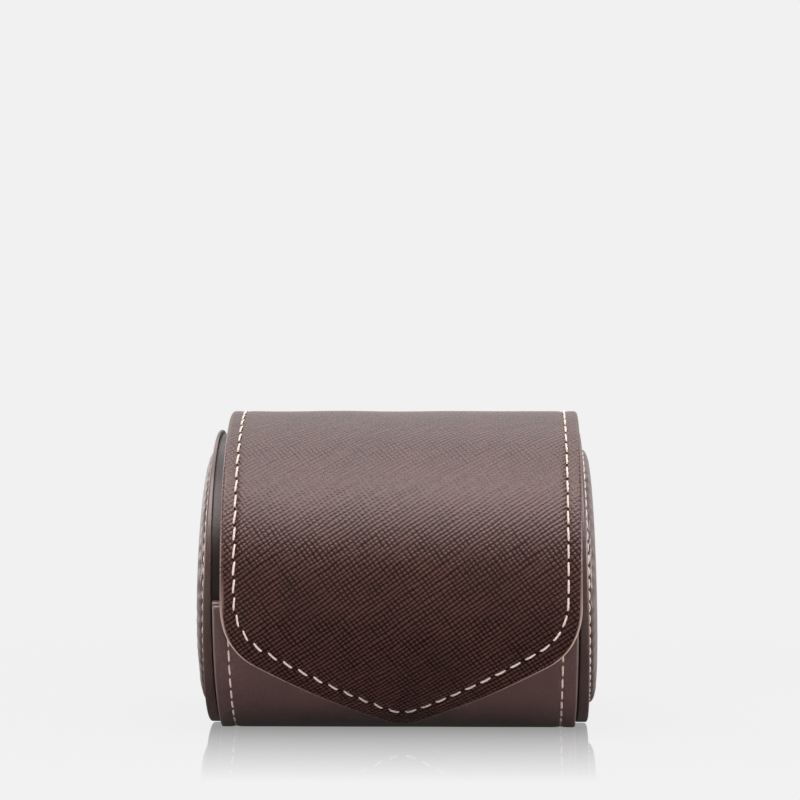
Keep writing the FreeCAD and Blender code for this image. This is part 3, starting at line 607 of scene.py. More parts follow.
def flap_line(margin=0.0, tip_margin=0.0, spacing=1.0):
    """The flap's edge, or a line inside it."""
    low = tip_margin - FLAP_OUTER * math.sin(math.radians(TIP_ANGLE - 90.0 - TRIM_TILT))
    tip = tip_outline(FLAP_HALF - margin, low, SHOULDER_RADIUS - margin, TIP_RADIUS)
    degrees = 90.0 + TRIM_TILT - np.degrees(np.arcsin(tip[:, 1] / FLAP_OUTER))
    tip = np.stack([tip[:, 0], np.radians(degrees) * FLAP_OUTER], axis=1)
    side = FLAP_HALF - margin
    line = np.concatenate([[[-side, HINGE_HIGH]], tip, [[side, HINGE_HIGH]]])
    return resample(line, spacing) + np.array([FLAP_SHIFT, 0.0])


def line_distance(points, line):
    """Distance of flat points to a line of flat points."""
    best = np.full(len(points), np.inf)
    for first, second in zip(line[:-1], line[1:]):
        run = second - first
        share = np.clip((points - first) @ run / (run @ run), 0.0, 1.0)
        best = np.minimum(best, np.linalg.norm(points - first - share[:, None] * run, axis=1))
    return best


def offset_line(line, distance):
    """Line moved sideways into the flap, its ends kept on the hinge's border."""
    tangent = np.gradient(line, axis=0)
    tangent[0] = np.array([0.0, 1.0])
    tangent[-1] = np.array([0.0, -1.0])
    tangent /= np.linalg.norm(tangent, axis=1)[:, None]
    return line + distance * np.stack([tangent[:, 1], -tangent[:, 0]], axis=1)


def points_inside(points, line):
    """Which flat points lie inside a closed line."""
    inside = np.zeros(len(points), bool)
    for (x1, y1), (x2, y2) in zip(line, np.roll(line, -1, axis=0)):
        crosses = (y1 > points[:, 1]) != (y2 > points[:, 1])
        if y1 != y2:
            inside ^= crosses & (points[:, 0] < (x2 - x1) * (points[:, 1] - y1) / (y2 - y1) + x1)
    return inside


TAIL_LOW = math.radians(TAIL_END) * FLAP_OUTER
HINGE_LOW = math.radians(BARREL_END) * FLAP_OUTER
HINGE_HIGH = math.radians(FLAP_START) * FLAP_OUTER
HINGE_PLACES = across_places(FLAP_HALF, FLAP_SHIFT)
FLAP_EDGE = flap_line()
FLAP_SEAM = flap_line(SEAM_MARGIN, TIP_SEAM_MARGIN, 0.5)


def flap_layout():
    """Flat points, faces and rim of the flap: even rings in from its edge, then a plain grid."""
    rings = [offset_line(FLAP_EDGE, step) for step in EDGE_STEPS]
    count = len(FLAP_EDGE)
    points = list(np.concatenate(rings))
    faces = grid_faces(len(rings), count)
    last_ring = [(len(rings) - 1) * count + index for index in range(count)]
    inner = rings[-1]
    border = [spot for spot in HINGE_PLACES if inner[0, 0] + 0.5 < spot < inner[-1, 0] - 0.5]
    loop = last_ring + [len(points) + index for index in range(len(border))]
    points += [np.array([spot, HINGE_HIGH]) for spot in reversed(border)]
    rows = np.arange(HINGE_HIGH + GRID_SPACING, FLAP_EDGE[:, 1].max(), GRID_SPACING)
    grid = np.array([[spot, row] for row in rows for spot in border])
    grid = grid[points_inside(grid, inner) & (line_distance(grid, inner) > 0.8)]
    numbers = loop + [len(points) + index for index in range(len(grid))]
    points = np.array(points + list(grid))
    edges = [(index, (index + 1) % len(loop)) for index in range(len(loop))]
    result = delaunay_2d_cdt([Vector(points[number]) for number in numbers], edges, [], 1, 1e-6)
    origin = [source[0] for source in result[3]]
    for face in result[2]:
        faces.append(tuple(numbers[origin[corner]] for corner in face))
    right = [ring * count + count - 1 for ring in range(1, len(rings))]
    left = [ring * count for ring in range(len(rings) - 1, 0, -1)]
    return points, faces, list(range(count)) + right + loop[count:] + left


def closed_flap(name, top_radius, bottom_radius, layout, shrink, material, **attributes):
    """Closed sheet over the flap's layout, drawn in from its edge by shrink."""
    points, faces, rim = layout
    pull = np.clip(1.0 - line_distance(points, FLAP_EDGE) / SHRINK_REACH, 0.0, 1.0)[:, None] * shrink
    inward = np.array([FLAP_SHIFT, SHRINK_AIM]) - points
    inward /= np.linalg.norm(inward, axis=1)[:, None] + 1e-9
    inward[np.abs(points[:, 1] - HINGE_HIGH) < 1e-6, 1] = 0.0
    flat = points + inward * pull
    degrees = np.degrees(flat[:, 1] / FLAP_OUTER)
    top, bottom = (barrel(flat[:, 0], degrees, radius) for radius in (top_radius, bottom_radius))
    return two_layers(name, top, bottom, faces, rim, material, **attributes)


# The flap, its tail and its hinge

def grain_places(flat):
    """Where the leather's grain lies: x and height along the sheet, in millimetres."""
    return np.stack([flat[:, 0], -flat[:, 1], np.zeros(len(flat))], axis=1)


def swell(flat, seam_distance):
    """Slow unevenness of the leather inside the seam."""
    return SWELL * waves(flat[:, 0], flat[:, 1], 3, SWELL_LENGTH) * smoothstep(seam_distance, 0.5, 8.0)


def add_flap():
    """The flap's leather over its board, and its lining."""
    layout = flap_layout()
    flat = layout[0]
    edge = line_distance(flat, FLAP_EDGE)
    seam = line_distance(flat, FLAP_SEAM)
    top = FLAP_OUTER - rounded(edge, EDGE_ROUND) + furrow(seam) + swell(flat, seam)
    bottom = FLAP_BOARD_INNER + rounded(edge, UNDER_ROUND)
    leather = closed_flap("flap_leather_cover", top, bottom, layout, 0.0, FLAP_LEATHER,
                          grain=grain_places(flat), edge=flap_rim_and_highlight(edge, flat))
    place(leather, "flap", "flap_leather", "flap_leather", "flap_board")
    lining_bottom = FLAP_LINING_INNER + rounded(edge, SUEDE_ROUND) - 0.6 * furrow(seam)
    lining = closed_flap("flap_lining_suede", FLAP_BOARD_INNER, lining_bottom, layout, LINING_INSET,
                         LINING_SUEDE)
    place(lining, "flap", "suede", "flap_lining")


def strip_places(lengths):
    """Grids over a strip as wide as the flap: x, length and distance from its sides, and its flat points."""
    across, length = np.meshgrid(HINGE_PLACES, lengths)
    side = FLAP_HALF - np.abs(across - FLAP_SHIFT)
    return across, length, side, np.stack([across.ravel(), length.ravel()], axis=1)


def add_tail():
    """The flap's tail, sewn on the back."""
    steps = TAIL_LOW + np.array(EDGE_STEPS)
    across, length, side, flat = strip_places(np.append(steps, np.linspace(steps[-1], HINGE_LOW, 46)[1:]))
    rise = length - TAIL_LOW
    edge = np.minimum(side, rise)
    seam = np.where(rise >= SEAM_MARGIN, np.minimum(np.abs(side - SEAM_MARGIN), rise - SEAM_MARGIN),
                    np.hypot(SEAM_MARGIN - rise, np.maximum(SEAM_MARGIN - side, 0.0)))
    lift = swell(flat, seam.ravel()).reshape(across.shape) * smoothstep(HINGE_LOW - length, 0.0, 6.0)
    degrees = np.degrees(length / FLAP_OUTER)
    top = barrel(across, degrees, FLAP_OUTER - rounded(edge, EDGE_ROUND) + furrow(seam) + lift)
    tail = thick_sheet("tail_leather_cover", top, barrel(across, degrees, FLAP_LEATHER_INNER), FLAP_LEATHER,
                       grain=grain_places(flat), edge=SIDE_EDGE_TONE * edge_mark(edge, TAIL_RIM).ravel())
    place(tail, "case_body", "flap_leather", "back_panel_leather")


def add_hinge():
    """The strip of leather and lining at the flap's hinge."""
    across, length, side, flat = strip_places(np.linspace(HINGE_LOW, HINGE_HIGH, 17))
    crease = -CREASE_DEPTH * hump(length - (HINGE_LOW + HINGE_HIGH) / 2.0, CREASE_WIDTH)
    shape = -rounded(side, EDGE_ROUND) + furrow(side - SEAM_MARGIN) + crease
    lift = swell(flat, np.abs(side - SEAM_MARGIN).ravel()).reshape(across.shape)
    lift = lift * smoothstep(length - HINGE_LOW, 0.0, 8.0)
    degrees = np.degrees(length / FLAP_OUTER)
    strip = thick_sheet("hinge_leather_strip", barrel(across, degrees, FLAP_OUTER + shape + lift),
                        barrel(across, degrees, FLAP_LEATHER_INNER), FLAP_LEATHER,
                        grain=grain_places(flat), edge=SIDE_EDGE_TONE * edge_mark(side, TAIL_RIM).ravel())
    bend(strip, "flap_leather", "hinge_leather")
    across = FLAP_SHIFT + (across - FLAP_SHIFT) * (1.0 - LINING_INSET / FLAP_HALF)
    inner = FLAP_LEATHER_INNER - HINGE_LINING + rounded(side, SUEDE_ROUND)
    lining = thick_sheet("hinge_lining_strip", barrel(across, degrees, FLAP_LEATHER_INNER),
                         barrel(across, degrees, inner), LINING_SUEDE)
    bend(lining, "suede", "hinge_lining")


# The barrel and its ends

def trough(radius, floor, start, end, spacing=SECTION_SPACING):
    """Section of a layer of the barrel: points and outward directions, from the front lip to the back."""
    meet = 180.0 - math.degrees(math.acos((AXIS_HEIGHT - floor) / radius))
    points, outward = [], []
    for first, second in ((start, meet), (360.0 - meet, 360.0 + end)):
        count = int(abs(second - first) * math.radians(radius) / spacing) + 2
        degrees = np.linspace(first, second, count)
        points.append(barrel(0.0, degrees, radius)[:, 1:])
        outward.append(np.stack([-np.sin(np.radians(degrees)), np.cos(np.radians(degrees))], axis=1))
    width = abs(points[0][-1, 0])
    flat = np.linspace(-width, width, int(2.0 * width / spacing) + 2)[1:-1]
    level = np.stack([flat, np.full(len(flat), floor)], axis=1)
    down = np.tile([0.0, -1.0], (len(flat), 1))
    return np.concatenate([points[0], level, points[1]]), np.concatenate([outward[0], down, outward[1]])


def shell(section, normal, across, offset):
    """Grid of points along the barrel over a section, moved outwards by an offset."""
    points = np.zeros((len(section), len(across), 3))
    points[:, :, 0] = across
    points[:, :, 1:] = section[:, None, :] + normal[:, None, :] * np.asarray(offset)[..., None]
    return points


def add_wrap():
    """The leather round the barrel."""
    section, normal = trough(WRAP_RADIUS, 0.0, LIP_END, BARREL_END)
    across = across_places(WRAP_HALF, spacing=2.4)
    side = WRAP_HALF - np.abs(across)
    steps = run_along(section)
    seam_on = smoothstep(steps, 1.0, 4.0)[:, None]
    grid_x, grid_s = np.meshgrid(across, steps)
    dip = WRAP_FURROW * furrow(side - WRAP_SEAM_MARGIN)[None, :] * seam_on
    uneven = WRAP_SWELL * waves(grid_x, grid_s, 11, WRAP_SWELL_LENGTH) * smoothstep(side, 1.0, 8.0)[None, :]
    on_base = (np.abs(normal[:, 1] + 1.0) < 1e-9)[:, None]
    uneven = np.where(on_base, 0.0, np.minimum(uneven, 0.0))
    lift = -rounded(side, UNDER_ROUND)[None, :] + dip + uneven
    inner = np.full(lift.shape, -WRAP_LEATHER)
    wrap = thick_sheet("wrap_leather_cover", shell(section, normal, across, lift),
                       shell(section, normal, across, inner), BODY_LEATHER,
                       edge=np.tile(edge_mark(side, TIP_RIM) * WRAP_EDGE_TONE, len(section)))
    place(wrap, "case_body", "body_leather", "wrap_leather")


def add_lip():
    """The binding of the front lip, rounded over its top."""
    turn = np.linspace(0.0, math.pi, 13)
    half = (WRAP_RADIUS - LINING_OUTER) / 2.0
    radius = (LINING_OUTER + WRAP_RADIUS) / 2.0 + half * np.cos(turn)
    drop = 1.0 - np.sin(turn) ** 0.7
    degrees = LIP_ANGLE + np.degrees(drop / WRAP_RADIUS)
    end_steps = np.array([0.0, 0.15, 0.5])
    across = np.concatenate([end_steps - WRAP_HALF, np.linspace(1.5 - WRAP_HALF, WRAP_HALF - 1.5, 45),
                             WRAP_HALF - end_steps[::-1]])
    low = np.full(len(turn), LIP_END)
    low[[0, -1]] += 0.02
    binding = thick_sheet("front_lip_leather", barrel(across, degrees[:, None], radius[:, None]),
                          barrel(across, low[:, None], radius[:, None]), BODY_LEATHER)
    place(binding, "case_body", "body_leather", "front_lip_binding")


def add_barrel_lining():
    """The suede inside the barrel."""
    section, normal = trough(ROOM_RADIUS, ROOM_FLOOR, LIP_ANGLE, BARREL_END)
    across = np.linspace(-LINING_HALF, LINING_HALF, 60)
    grid_x, grid_s = np.meshgrid(across, np.arange(len(section)) * SECTION_SPACING)
    nap = -NAP + NAP * waves(grid_x, grid_s, 5, NAP_LENGTH)
    back = np.full(nap.shape, LINING_OUTER - ROOM_RADIUS)
    lining = thick_sheet("barrel_lining_suede", shell(section, normal, across, np.maximum(-nap, 0.0)),
                         shell(section, normal, across, back), LINING_SUEDE)
    place(lining, "case_body", "suede", "body_lining")


def add_end_lining(side_name, side):
    """The suede disc inside one end, with a flat base, turned in at its rim."""
    outline = barrel(0.0, np.degrees(full_turn(120)), END_LINING_RADIUS)[:, 1:]
    outline[:, 1] = np.maximum(outline[:, 1], ROOM_FLOOR + 0.1)
    centre = np.array([0.0, AXIS_HEIGHT])
    shares = [1.0, 0.996, 0.985, 0.96, 0.9, 0.8, 0.65, 0.5, 0.35, 0.2, 0.08]
    depths = [0.0, 0.35, 0.55, 0.65, 0.68, 0.7, 0.7, 0.7, 0.7, 0.7, 0.7]
    points = []
    for share, depth in zip(shares, depths):
        ring = centre + (outline - centre) * share
        points.append(np.column_stack([np.full(len(ring), side * (LINING_HALF - depth)), ring]))
    faces = tube_faces(len(shares), len(outline))
    disc = make_object(f"{side_name}_end_suede", np.concatenate(points), faces, LINING_SUEDE)
    place(disc, "case_body", "suede", f"{side_name}_end_lining")


# Padded pieces

def inflate(rings, held, spare):
    """Rings of a closed cover after air has filled it: cloth with some length to spare, held at its seams."""
    count = rings.shape[1]
    points = rings.reshape(-1, 3) * CLOTH_SCALE / MM
    cover = make_object("cover", points, tube_faces(len(rings), count), CAP_LEATHER)
    group = cover.vertex_groups.new(name="held")
    group.add(np.flatnonzero(np.repeat(held, count)).tolist(), 1.0, "REPLACE")
    cloth = cover.modifiers.new("cloth", "CLOTH")
    cloth.settings.mass = CLOTH_MASS
    cloth.settings.use_pressure = True
    cloth.settings.uniform_pressure_force = CLOTH_PRESSURE
    cloth.settings.shrink_min = -spare
    cloth.settings.vertex_group_mass = "held"
    cloth.settings.effector_weights.gravity = 0.0
    cloth.point_cache.frame_start = 1
    cloth.point_cache.frame_end = CLOTH_FRAMES
    for number in range(1, CLOTH_FRAMES + 1):
        bpy.context.scene.frame_set(number)
    blown = cover.evaluated_get(bpy.context.evaluated_depsgraph_get()).data
    places = np.empty(rings.size, np.float32)
    blown.vertices.foreach_get("co", places)
    mesh = cover.data
    bpy.data.objects.remove(cover)
    bpy.data.meshes.remove(mesh)
    bpy.context.scene.frame_set(1)
    return places.reshape(rings.shape).astype(float) / CLOTH_SCALE


def finer(rings, count):
    """Rings with more points, along smooth closed curves."""
    return np.fft.irfft(np.fft.rfft(rings, axis=1), count, axis=1) * (count / rings.shape[1])


def soft_limit(value, limit, softness):
    """Values bent smoothly so that they stay under a limit."""
    room = limit - value
    return limit - 0.5 * (room + np.sqrt(room ** 2 + softness ** 2))


def lean_out(points, side):
    """Points of a cap, given upright as height from the middle, y and level, leaned out at their foot."""
    lean = math.radians(CAP_LEAN)
    out, level = points[:, 0] - CAP_BOARD_FACE, points[:, 2]
    across = CAP_BOARD_FACE + out * math.cos(lean) - level * math.sin(lean)
    return np.column_stack([side * across, points[:, 1],
                            AXIS_HEIGHT + out * math.sin(lean) + level * math.cos(lean)])


def blown_pad(seed):
    """The puffy middle of a cap as upright rings: a cover cut full, blown up inside its seam."""
    steps = np.concatenate([[0.3, 1.0, 2.0, 3.5, 5.5, 8.0, 11.0, 15.0, 20.0], np.arange(26.0, 69.0, 6.0),
                            [73.0, 78.0, 82.0, 85.0, 87.5, 89.3]])
    bow = np.radians(steps)[:, None]
    power = 2.0 / PAD_SQUARENESS
    share = np.cos(bow) ** power
    rise = np.minimum((np.sin(bow) / math.sin(math.radians(PAD_LAST_ANGLE))) ** power, 1.0)
    turn = full_turn(CAP_STITCHES * 2)[None, :]
    foot = CAP_FRONT - PAD_FOOT
    full = foot + (PAD_RISE + PAD_FOOT) * rise
    radius = PAD_RADIUS * share
    drop = PAD_SAG * (1.0 - share)
    uneven = waves(radius * np.sin(turn), radius * np.cos(turn), seed, 9.0)
    start = foot + (full - foot) * 0.96 + 0.04 * uneven * smoothstep(steps, 2.0, 15.0)[:, None]
    rings = np.stack([start, -radius * np.sin(turn), radius * np.cos(turn) - drop], axis=-1)
    blown = inflate(rings, steps < 3.0, PAD_SPARE)
    height = full + PAD_SLACK * (soft_limit(blown[..., 0], full, 0.08) - full)
    aside = np.hypot(blown[..., 1], blown[..., 2] + drop)
    inward = (radius + PAD_SLACK * (soft_limit(aside, radius + 0.2, 0.16) - radius)) / aside
    blown = np.stack([height, blown[..., 1] * inward, (blown[..., 2] + drop) * inward - drop], axis=-1)
    return steps, finer(blown, CAP_POINTS)


def add_cap(side_name, side):
    """One padded end: a border turned over its board, a furrow for the stitches and a puffy middle."""
    count = CAP_POINTS
    seed = 21 if side > 0 else 22
    turn = full_turn(count)
    gather = 0.5 + 0.5 * np.cos(turn * CAP_STITCHES)
    uneven = waves(np.cos(turn) * 30.0, np.sin(turn) * 30.0, seed, 16.0)
    rings = []

    def upright(radius, height):
        """A ring of the cap's straight back."""
        rings.append(np.column_stack([np.full(count, side * height), -radius * np.sin(turn),
                                      AXIS_HEIGHT + radius * np.cos(turn)]))

    def ring(radius, height):
        """A ring of the cap's leaning face."""
        height = np.broadcast_to(height, count)
        rings.append(lean_out(np.column_stack([height, -radius * np.sin(turn), radius * np.cos(turn)]), side))

    upright(20.0, CAP_BACK)
    upright(CAP_RADIUS - 1.0, CAP_BACK)
    for bow in np.radians(np.linspace(0.0, 90.0, 5)):
        upright(CAP_RADIUS - BACK_ROUND + BACK_ROUND * math.sin(bow),
                CAP_BACK + BACK_ROUND - BACK_ROUND * math.cos(bow))
    for bow in np.radians(np.linspace(0.0, 90.0, 8)):
        ring(CAP_RADIUS - FACE_ROUND + FACE_ROUND * math.cos(bow),
             CAP_FRONT - FACE_DROP + FACE_DROP * math.sin(bow))
    for radius in CAP_BORDER:
        ring(radius, CAP_FRONT + 0.04 * uneven)
    for radius, depth in CAP_FURROW:
        ring(radius, CAP_FRONT - depth * (0.7 + 0.3 * gather))
    for degrees, blown in zip(*blown_pad(seed)):
        pucker = PUCKER * hump(degrees - 5.0, 8.0)
        blown[:, 0] = np.minimum(blown[:, 0] + pucker * (0.5 - gather), CAP_FRONT + PAD_RISE)
        rings.append(lean_out(blown, side))
    faces = tube_faces(len(rings), count)
    cap = make_object(f"{side_name}_cap_padded", np.concatenate(rings), faces, CAP_LEATHER)
    place(cap, "case_body", "cap_leather", f"{side_name}_cap_leather", f"{side_name}_cap_board",
          f"{side_name}_cap_pad")


def add_cushion():
    """The watch cushion: a crowned roll blown up between its end seams, with tucked ends and a sewn line."""
    count = CUSHION_POINTS
    edge = CUSHION_RADIUS - CUSHION_CROWN
    bend_radius = (CUSHION_HALF ** 2 / CUSHION_CROWN + CUSHION_CROWN) / 2.0

    def crown(across):
        """The roll's radius at a place along it."""
        inside = np.clip(across, -CUSHION_HALF, CUSHION_HALF)
        return CUSHION_RADIUS - bend_radius + np.sqrt(bend_radius ** 2 - inside ** 2)

    def dome(radius):
        """How far out an end lies at a radius."""
        rise = CUSHION_PEAK - CUSHION_HALF - END_STEP
        return CUSHION_HALF + END_STEP + (1.0 - (radius / edge) ** END_POWER) * rise

    shares = np.array([0.05, 0.2, 0.35, 0.5, 0.65, 0.78, 0.88, 0.95, 0.985])
    near = np.linspace(0.0, 4.0, 9)
    middle = np.linspace(-CUSHION_HALF + 5.0, CUSHION_HALF - 5.0, 46)
    sleeve = np.concatenate([near - CUSHION_HALF, middle, CUSHION_HALF - near[::-1]])
    slack = 0.5 * smoothstep(CUSHION_HALF - np.abs(sleeve), 0.0, 6.0)
    end_across = np.append(dome(shares * edge) - 0.3, CUSHION_HALF + 0.35)
    end_radius = np.append(shares * edge, edge - 0.05)
    across = np.concatenate([-end_across, sleeve, end_across[::-1]])
    radius = np.concatenate([end_radius, crown(sleeve) - slack, end_radius[::-1]])
    held = np.abs(np.abs(across) - CUSHION_HALF - 0.17) < 0.2

    length, turn = np.meshgrid(across, full_turn(count // 2), indexing="ij")
    uneven = waves(length, turn * 25.0, 31, 18.0)
    start = radius[:, None] + 0.08 * uneven * smoothstep(CUSHION_HALF - np.abs(length), 0.0, 6.0)
    rings = np.stack([length, start * np.sin(turn), start * np.cos(turn)], axis=-1)
    blown = finer(inflate(rings, held, CUSHION_SPARE), count)

    is_end = (np.abs(across) > CUSHION_HALF)[:, None]
    out = np.hypot(blown[..., 1], blown[..., 2])
    along = blown[..., 0]
    limit = np.where(is_end, edge, crown(along))
    sewn = -SEWN_DEPTH * hump(full_turn(count)[None, :] - math.pi, SEWN_WIDTH)
    tuck = -TUCK_DEPTH * hump(CUSHION_HALF - np.abs(along) - TUCK_INSET, TUCK_WIDTH)
    shorter = (soft_limit(out, limit, 0.2) + np.where(is_end, 0.0, sewn + tuck)) / out
    reach = np.where(is_end, dome(np.minimum(out, edge)), CUSHION_HALF + 0.2)
    along = np.sign(along) * soft_limit(np.abs(along), reach, 0.2)
    points = np.stack([along, blown[..., 1] * shorter, CUSHION_HEIGHT + blown[..., 2] * shorter], axis=-1)
    faces = tube_faces(len(points), count)
    cushion = make_object("watch_cushion", points.reshape(-1, 3), faces, CUSHION_SUEDE)
    place(cushion, "cushion", "cushion_suede", "cushion_core", "cushion_sleeve", "left_cushion_end",
          "right_cushion_end")


# Stitching

class Seams:
    """Twisted stitches and the dents between them, dark with painted shade, gathered into two meshes."""

    POINTS_ROUND = 10
    STEPS = 12

    def __init__(self, seed):
        self.random = np.random.default_rng(seed)
        self.points, self.faces, self.ply = [], [], []
        self.hole_points, self.hole_faces = [], []

    def sew(self, path, outward, sink=0.0, dents=True, closed=False, slant=0.05, gap=0.3, count=0,
            thread=THREAD_RADIUS):
        """Even stitches along points with outward directions; slants and gaps at their ends may vary."""
        along = run_along(path)
        count = count or max(1, int(round(along[-1] / STITCH_PITCH)))
        pitch = along[-1] / count
        slants = np.broadcast_to(slant, len(path))
        gaps = np.broadcast_to(gap, len(path))

        def at(distance):
            point = np.array([np.interp(distance, along, path[:, axis]) for axis in range(3)])
            normal = np.array([np.interp(distance, along, outward[:, axis]) for axis in range(3)])
            return point, normal / np.linalg.norm(normal)

        for number in range(count):
            middle = (number + 0.5) * pitch
            reach = pitch / 2.0 - np.interp(middle, along, gaps)
            self.stitch(at, middle - reach, middle + reach, sink, np.interp(middle, along, slants), thread)
            if dents and (number or closed):
                self.dent(at, number * pitch)

    def stitch(self, at, first, last, sink, slant, thread):
        """One stitch: two plies twisted together, dipping into the leather at both ends."""
        slant = slant + self.random.uniform(-0.06, 0.06)
        thickness = thread * self.random.uniform(0.94, 1.06)
        base = len(self.points)
        tangent = at(last)[0] - at(first)[0]
        tangent /= np.linalg.norm(tangent)
        for step in range(self.STEPS + 1):
            share = step / self.STEPS
            point, normal = at(first + (last - first) * share)
            sideways = np.cross(normal, tangent)
            arch = 1.0 - abs(2.0 * share - 1.0) ** 3.0
            taper = 0.6 + 0.4 * min(1.0, arch * 2.2)
            lift = THREAD_ARCH * arch - THREAD_DIP - sink
            centre = point + normal * lift + sideways * slant * (2.0 * share - 1.0)
            for turn in full_turn(self.POINTS_ROUND):
                ply = abs(math.cos(turn - share * PLY_TURNS * 2.0 * math.pi))
                radius = thickness * taper * (0.84 + 0.2 * ply)
                self.points.append(centre + radius * (math.cos(turn) * sideways + math.sin(turn) * normal))
                self.ply.append(ply)
        self.faces += tube_faces(self.STEPS + 1, self.POINTS_ROUND, base)

    def dent(self, at, distance):
        """A dimple where two stitches meet, dark with the painted shade of a needle hole."""
        point, normal = at(distance)
        tangent = at(distance + 0.2)[0] - at(max(distance - 0.2, 0.0))[0]
        tangent /= np.linalg.norm(tangent)
        sideways = np.cross(normal, tangent)
        base = len(self.hole_points)
        for height, size in DENT_RINGS:
            for turn in full_turn(self.POINTS_ROUND):
                aside = tangent * DENT_LENGTH * math.cos(turn) + sideways * DENT_WIDTH * math.sin(turn)
                self.hole_points.append(point + normal * height + aside * size)
        self.hole_faces += tube_faces(len(DENT_RINGS), self.POINTS_ROUND, base)

    def make(self, name):
        """The stitches and their dents as objects."""
        return (make_object(name, self.points, self.faces, THREAD, ply=self.ply),
                make_object(f"{name}_holes", self.hole_points, self.hole_faces, SHADED_HOLE))

    def add_to(self, body, name, slot, node):
        """The stitches, which stand for a node, and their dents on a body."""
        thread, holes = self.make(name)
        place(thread, body, "thread", node)
        place(holes, body, slot)


def radial(path):
    """Directions straight out of the barrel along a path."""
    out = path * np.array([0.0, 1.0, 1.0]) - np.array([0.0, 0.0, AXIS_HEIGHT])
    return out / np.linalg.norm(out, axis=1)[:, None]


def sew_flap():
    """The seam round the flap, on its leather and on its lining."""
    seams = Seams(101)
    degrees = np.degrees(FLAP_SEAM[:, 1] / FLAP_OUTER)
    path = barrel(FLAP_SEAM[:, 0], degrees, FLAP_OUTER)
    tip = on_tip(FLAP_SEAM[:, 1])
    slant = np.where(FLAP_SEAM[:, 0] < FLAP_SHIFT, -0.2 - 0.08 * tip, 0.05 * (1.0 - tip))
    seams.sew(path, radial(path), slant=slant, gap=0.33 + 0.3 * tip)
    back = barrel(FLAP_SEAM[:, 0], degrees, FLAP_LINING_INNER)
    seams.sew(back, -radial(back), sink=0.12, dents=False)
    seams.add_to("flap", "flap_stitches", "flap_leather", "flap_thread")


def sew_tail_and_hinge(left, right):
    """The seam down both sides of the tail and along its end, and the stitches across the hinge."""
    seams = Seams(102)
    lowest = TAIL_END + math.degrees(SEAM_MARGIN / FLAP_OUTER)
    degrees = np.linspace(BARREL_END, lowest, 150)
    path = np.concatenate([barrel(left, degrees, FLAP_OUTER),
                           barrel(np.linspace(left, right, 90)[1:-1], lowest, FLAP_OUTER),
                           barrel(right, degrees[::-1], FLAP_OUTER)])
    seams.sew(path, radial(path))
    seams.add_to("case_body", "tail_stitches", "flap_leather", "back_panel_thread")

    seams = Seams(103)
    for across in (left, right):
        path = barrel(across, np.linspace(BARREL_END, FLAP_START, 40), FLAP_OUTER)
        seams.sew(path, radial(path), closed=True)
    thread, holes = seams.make("hinge_stitches")
    bend(thread, "thread")
    bend(holes, "flap_leather")


def sew_wrap():
    """The row of stitches near each end of the barrel, sunk where it stands on its base."""
    seams = Seams(104)
    lip = LIP_ANGLE + math.degrees(WRAP_SEAM_MARGIN / WRAP_RADIUS)
    section, normal = trough(WRAP_RADIUS, 0.0, lip, TAIL_END, 0.5)
    sunk = np.where(section[:, 1] < 0.25, 0.36, 0.12)[:, None]
    for across in (-WRAP_HALF + WRAP_SEAM_MARGIN, WRAP_HALF - WRAP_SEAM_MARGIN):
        path = np.column_stack([np.full(len(section), across), section - normal * sunk])
        seams.sew(path, np.column_stack([np.zeros(len(section)), normal]))
    seams.add_to("case_body", "wrap_stitches", "body_leather", "wrap_thread")


def sew_cap(side_name, side, seed):
    """The fine stitches round a padded cap."""
    seams = Seams(seed)
    turn = np.linspace(0.0, 2.0 * math.pi, 400)
    flat = np.column_stack([np.full(len(turn), CAP_FRONT), -CAP_SEAM_RADIUS * np.sin(turn),
                            CAP_SEAM_RADIUS * np.cos(turn)])
    path = lean_out(flat, side)
    outward = lean_out(flat + np.array([1.0, 0.0, 0.0]), side) - path
    seams.sew(path, outward, sink=-0.22, closed=True, gap=0.2, count=CAP_STITCHES, thread=CAP_THREAD_RADIUS)
    seams.add_to("case_body", f"{side_name}_cap_stitches", "cap_leather", f"{side_name}_cap_thread")


def dress_nodes():
    """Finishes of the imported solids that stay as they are."""
    finishes = {"body_former": BOARD, "back_filler_board": BOARD, "keeper_plate": STEEL,
                "flap_magnet": MAGNET, "left_end_plug": SHADED_PLUG_LEATHER, "right_end_plug": SHADED_PLUG_LEATHER}
    for name, material in finishes.items():
        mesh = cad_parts[name].data
        mesh.materials.clear()
        mesh.materials.append(material)


# Stage, light and camera, in metres and degrees, with the lens in millimetres

PALE = 0.879
# The floor's darkest glow in reflections, at the object's footprint: a painted shadow.
DARKEST_FLOOR = 0.1
FLOOR_HALF = 8.0
FLOOR_IOR = 1.45
IMAGE_REACH = 0.1025
SHADOW_REACH = 0.3
FOOT_HALF_X = 0.045
FOOT_HALF_Y = 0.012
CAMERA_TURN = 1.4
CAMERA_AWAY = 0.727
CAMERA_ASIDE = 0.0002
CAMERA_HEIGHT = 0.081
CAMERA_LENS = 130.0
CAMERA_SENSOR = 36.0


def grey(level):
    return (level, level, level, 1.0)


def pale_shader(n, kind, strength):
    """The pale tone of the surroundings at some strength."""
    return n.sockets(n.add(kind), Color=grey(PALE), Strength=strength).outputs[0]


def mix_shaders(n, share, first, second):
    return n.fill(n.add("ShaderNodeMixShader"), share, first, second).outputs[0]


